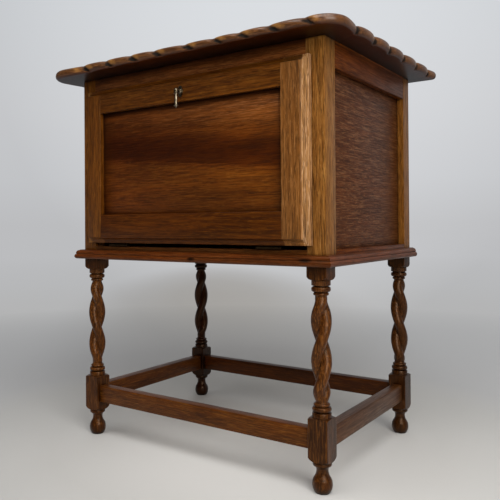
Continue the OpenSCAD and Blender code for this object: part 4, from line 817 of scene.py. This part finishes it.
# Fall front. Two stiles, two rails and a panel. The stiles are light straight-grained oak, the rails
# are yellower, and a hollow moulding is run round the outside of the frame. The outer lips of the
# stiles are painted pale as a painted highlight, and the tops of their hollows and the whole left
# stile darker as painted shade. The panel is glued up from boards of unlike shades, and is painted
# darker at its ends and under its top rail as painted shade.
stile_tones = dict(ground=(0.205, 0.071, 0.011), line=(0.052, 0.016, 0.003), fleck=(0.38, 0.17, 0.05),
                   lines=0.65, flecks=0.35, bands=0.3, blotches=0.2, pores=0.55, shine=0.5, rough=0.36)
lip_in, lip_out = 0.2483, 0.2495
hollow_low, hollow_high = 0.7160, 0.7172
for side, at, board_and_light_shade, dull in (("left", 0.5, (0.58, 0.46, 0.2), (0.8, 0.75, 0.7, 1)),
                              ("right", 0.8, (1, 1, 1), (0.45, 0.40, 0.30, 1))):
    finish = oak("stile_oak_" + side, "z", offset=(at, 0.2, 0.1), **toned_by_board_and_light(stile_tones, *board_and_light_shade))
    tree, shader, ground = opened(finish)
    axes = axes_of(tree, object_of(tree))
    outside = math_of(tree, "ABSOLUTE", axes["X"])
    # Painted highlight on the outer lips, and painted shade in the tops of the hollows.
    painted_lip_highlight = mix_of(tree, span_of(tree, outside, lip_in, lip_out), ground, (2.05, 2.8, 5.5, 1), "MULTIPLY")
    top_hollow_painted_shade = math_of(tree, "MULTIPLY", span_of(tree, outside, lip_out, lip_in),
                        span_of(tree, axes["Z"], hollow_low, hollow_high))
    wire(tree, mix_of(tree, top_hollow_painted_shade, painted_lip_highlight, dull, "MULTIPLY"), shader["Base Color"])
    eased("door_stile_" + side, "planed_door_stile_" + side, "fall_front", finish, arris=0.0006)
door_rail_tones = dict(ground=(0.120, 0.035, 0.003), line=(0.028, 0.007, 0.001), fleck=(0.22, 0.09, 0.015),
                       lines=0.85, flecks=0.25, bands=0.6, blotches=0.4)
# Each rail's tone is partly its board and partly painted light and shade.
for rail, at, board_and_light_shade in (("door_top_rail", 0.15, (1.02, 0.94, 0.70)),
                        ("door_bottom_rail", 0.55, (0.72, 0.55, 0.3))):
    eased(rail, "planed_" + rail, "fall_front",
          oak(rail + "_oak", "x", offset=(at, 0.3, at / 2), **toned_by_board_and_light(door_rail_tones, *board_and_light_shade)), arris=0.0006)
door_panel_tones = dict(ground=(0.125, 0.029, 0.002), line=(0.034, 0.007, 0.001), fleck=(0.20, 0.07, 0.012),
                        lines=0.7, flecks=0.25, bands=0.5, blotches=0.5, offset=(0.1, 0.2, 0.35), reach=0.025)
boards_up = ("Z", 0.42, 0.72, [
    (0.0, (1.0, 0.95, 0.7)), (0.44, (1.05, 1.05, 0.8)), (0.468, (0.82, 0.72, 0.58)),
    (0.486, (0.42, 0.30, 0.22)), (0.55, (0.33, 0.20, 0.13)), (0.62, (0.43, 0.30, 0.22)),
    (0.69, (0.82, 0.77, 0.77)), (0.705, (0.72, 0.65, 0.65)), (0.715, (0.95, 0.95, 1.1)),
    (0.76, (1.2, 1.3, 1.9)), (0.85, (1.6, 1.9, 3.5)), (1.0, (1.9, 2.4, 5.0))], 0.09)
# Painted shade at both ends beside the stiles; between them the boards' shades, lighter towards the right
# partly as painted light.
boards_and_painted_shade_across = ("X", -0.22, 0.22, [
    (0.0, (0.55, 0.48, 0.46)), (0.10, (0.95, 0.90, 0.85)), (0.25, (0.95, 0.92, 0.88)),
    (0.45, (0.86, 0.86, 0.86)), (0.60, (0.90, 0.92, 0.95)), (0.72, (1.06, 1.1, 1.15)),
    (0.88, (1.2, 1.28, 1.4)), (0.96, (1.10, 1.15, 1.25)), (1.0, (0.65, 0.65, 0.65))])
# Painted shadow under the door's top rail.
painted_shadow_under_rail = ("Z", 0.655, 0.678, [
    (0.0, (1, 1, 1)), (0.45, (0.85, 0.82, 0.80)), (0.75, (0.30, 0.25, 0.22)), (1.0, (0.06, 0.05, 0.04))])
panel_finish = oak("door_panel_oak", "x", **door_panel_tones)
for change in (boards_up, boards_and_painted_shade_across, painted_shadow_under_rail):
    graded(panel_finish, *change)
eased("door_panel", "door_board", "fall_front", panel_finish)

# Metal fittings, screwed or riveted on. Stays, their guides, the stud and most screws are dull brass,
# the hinges are bronze painted near black as painted shade in the gap under the fall front, clip and
# button screws are steel, and the pull is brass worn to a pale, silvery tone. The hollows of all the
# metal are darkened, partly patina and partly painted shade.
def metal(name, bright, dull, rough, grime_and_shade):
    finish = bpy.data.materials.new(name)
    finish.use_nodes = True
    tree = finish.node_tree
    shader = tree.nodes["Principled BSDF"].inputs
    cloud = noise_of(tree, object_of(tree), 240, 5)
    clean = ramp_of(tree, cloud, [(0.35, dull), (0.62, bright)])
    # Ambient occlusion darkens the hollows: patina and painted shade.
    hollow_grime_and_shade = ramp_of(tree, hollows_of(tree, 0.004), [(0.35, (0.05, 0.04, 0.03)), (0.85, (1, 1, 1))])
    wire(tree, mix_of(tree, grime_and_shade, clean, hollow_grime_and_shade, "MULTIPLY"), shader["Base Color"])
    wire(tree, span_of(tree, cloud, 0.0, 1.0, rough + 0.14, rough - 0.08), shader["Roughness"])
    shader["Metallic"].default_value = 1
    return finish


brass = metal("dull_brass", (0.55, 0.37, 0.14), (0.28, 0.17, 0.06), 0.36, 0.6)
steel = metal("spring_steel", (0.50, 0.50, 0.49), (0.30, 0.29, 0.28), 0.3, 0.5)
silvered = metal("worn_silvered_brass", (0.42, 0.36, 0.26), (0.12, 0.09, 0.055), 0.28, 0.9)
# Painted shade: the hinges sit in the shadowed gap under the fall front and are painted near black.
hinge_bronze_in_painted_shade = metal("bronze_in_painted_shade", (0.050, 0.030, 0.014), (0.018, 0.010, 0.005), 0.5, 0.9)
for fittings, finish in (
        ([name for name in nodes if name.startswith("hinge_")], hinge_bronze_in_painted_shade),
        ([name for name in nodes if name.startswith("stay_")] + ["catch_stud", "body_screws", "door_screws"],
         brass),
        (["catch_clip", "button_screws"], steel),
        (["pull_plate", "pull_pillar", "pull_nut", "pull_drop", "pull_pin"], silvered)):
    for fitting in fittings:
        nodes[fitting].data.materials.clear()
        nodes[fitting].data.materials.append(finish)
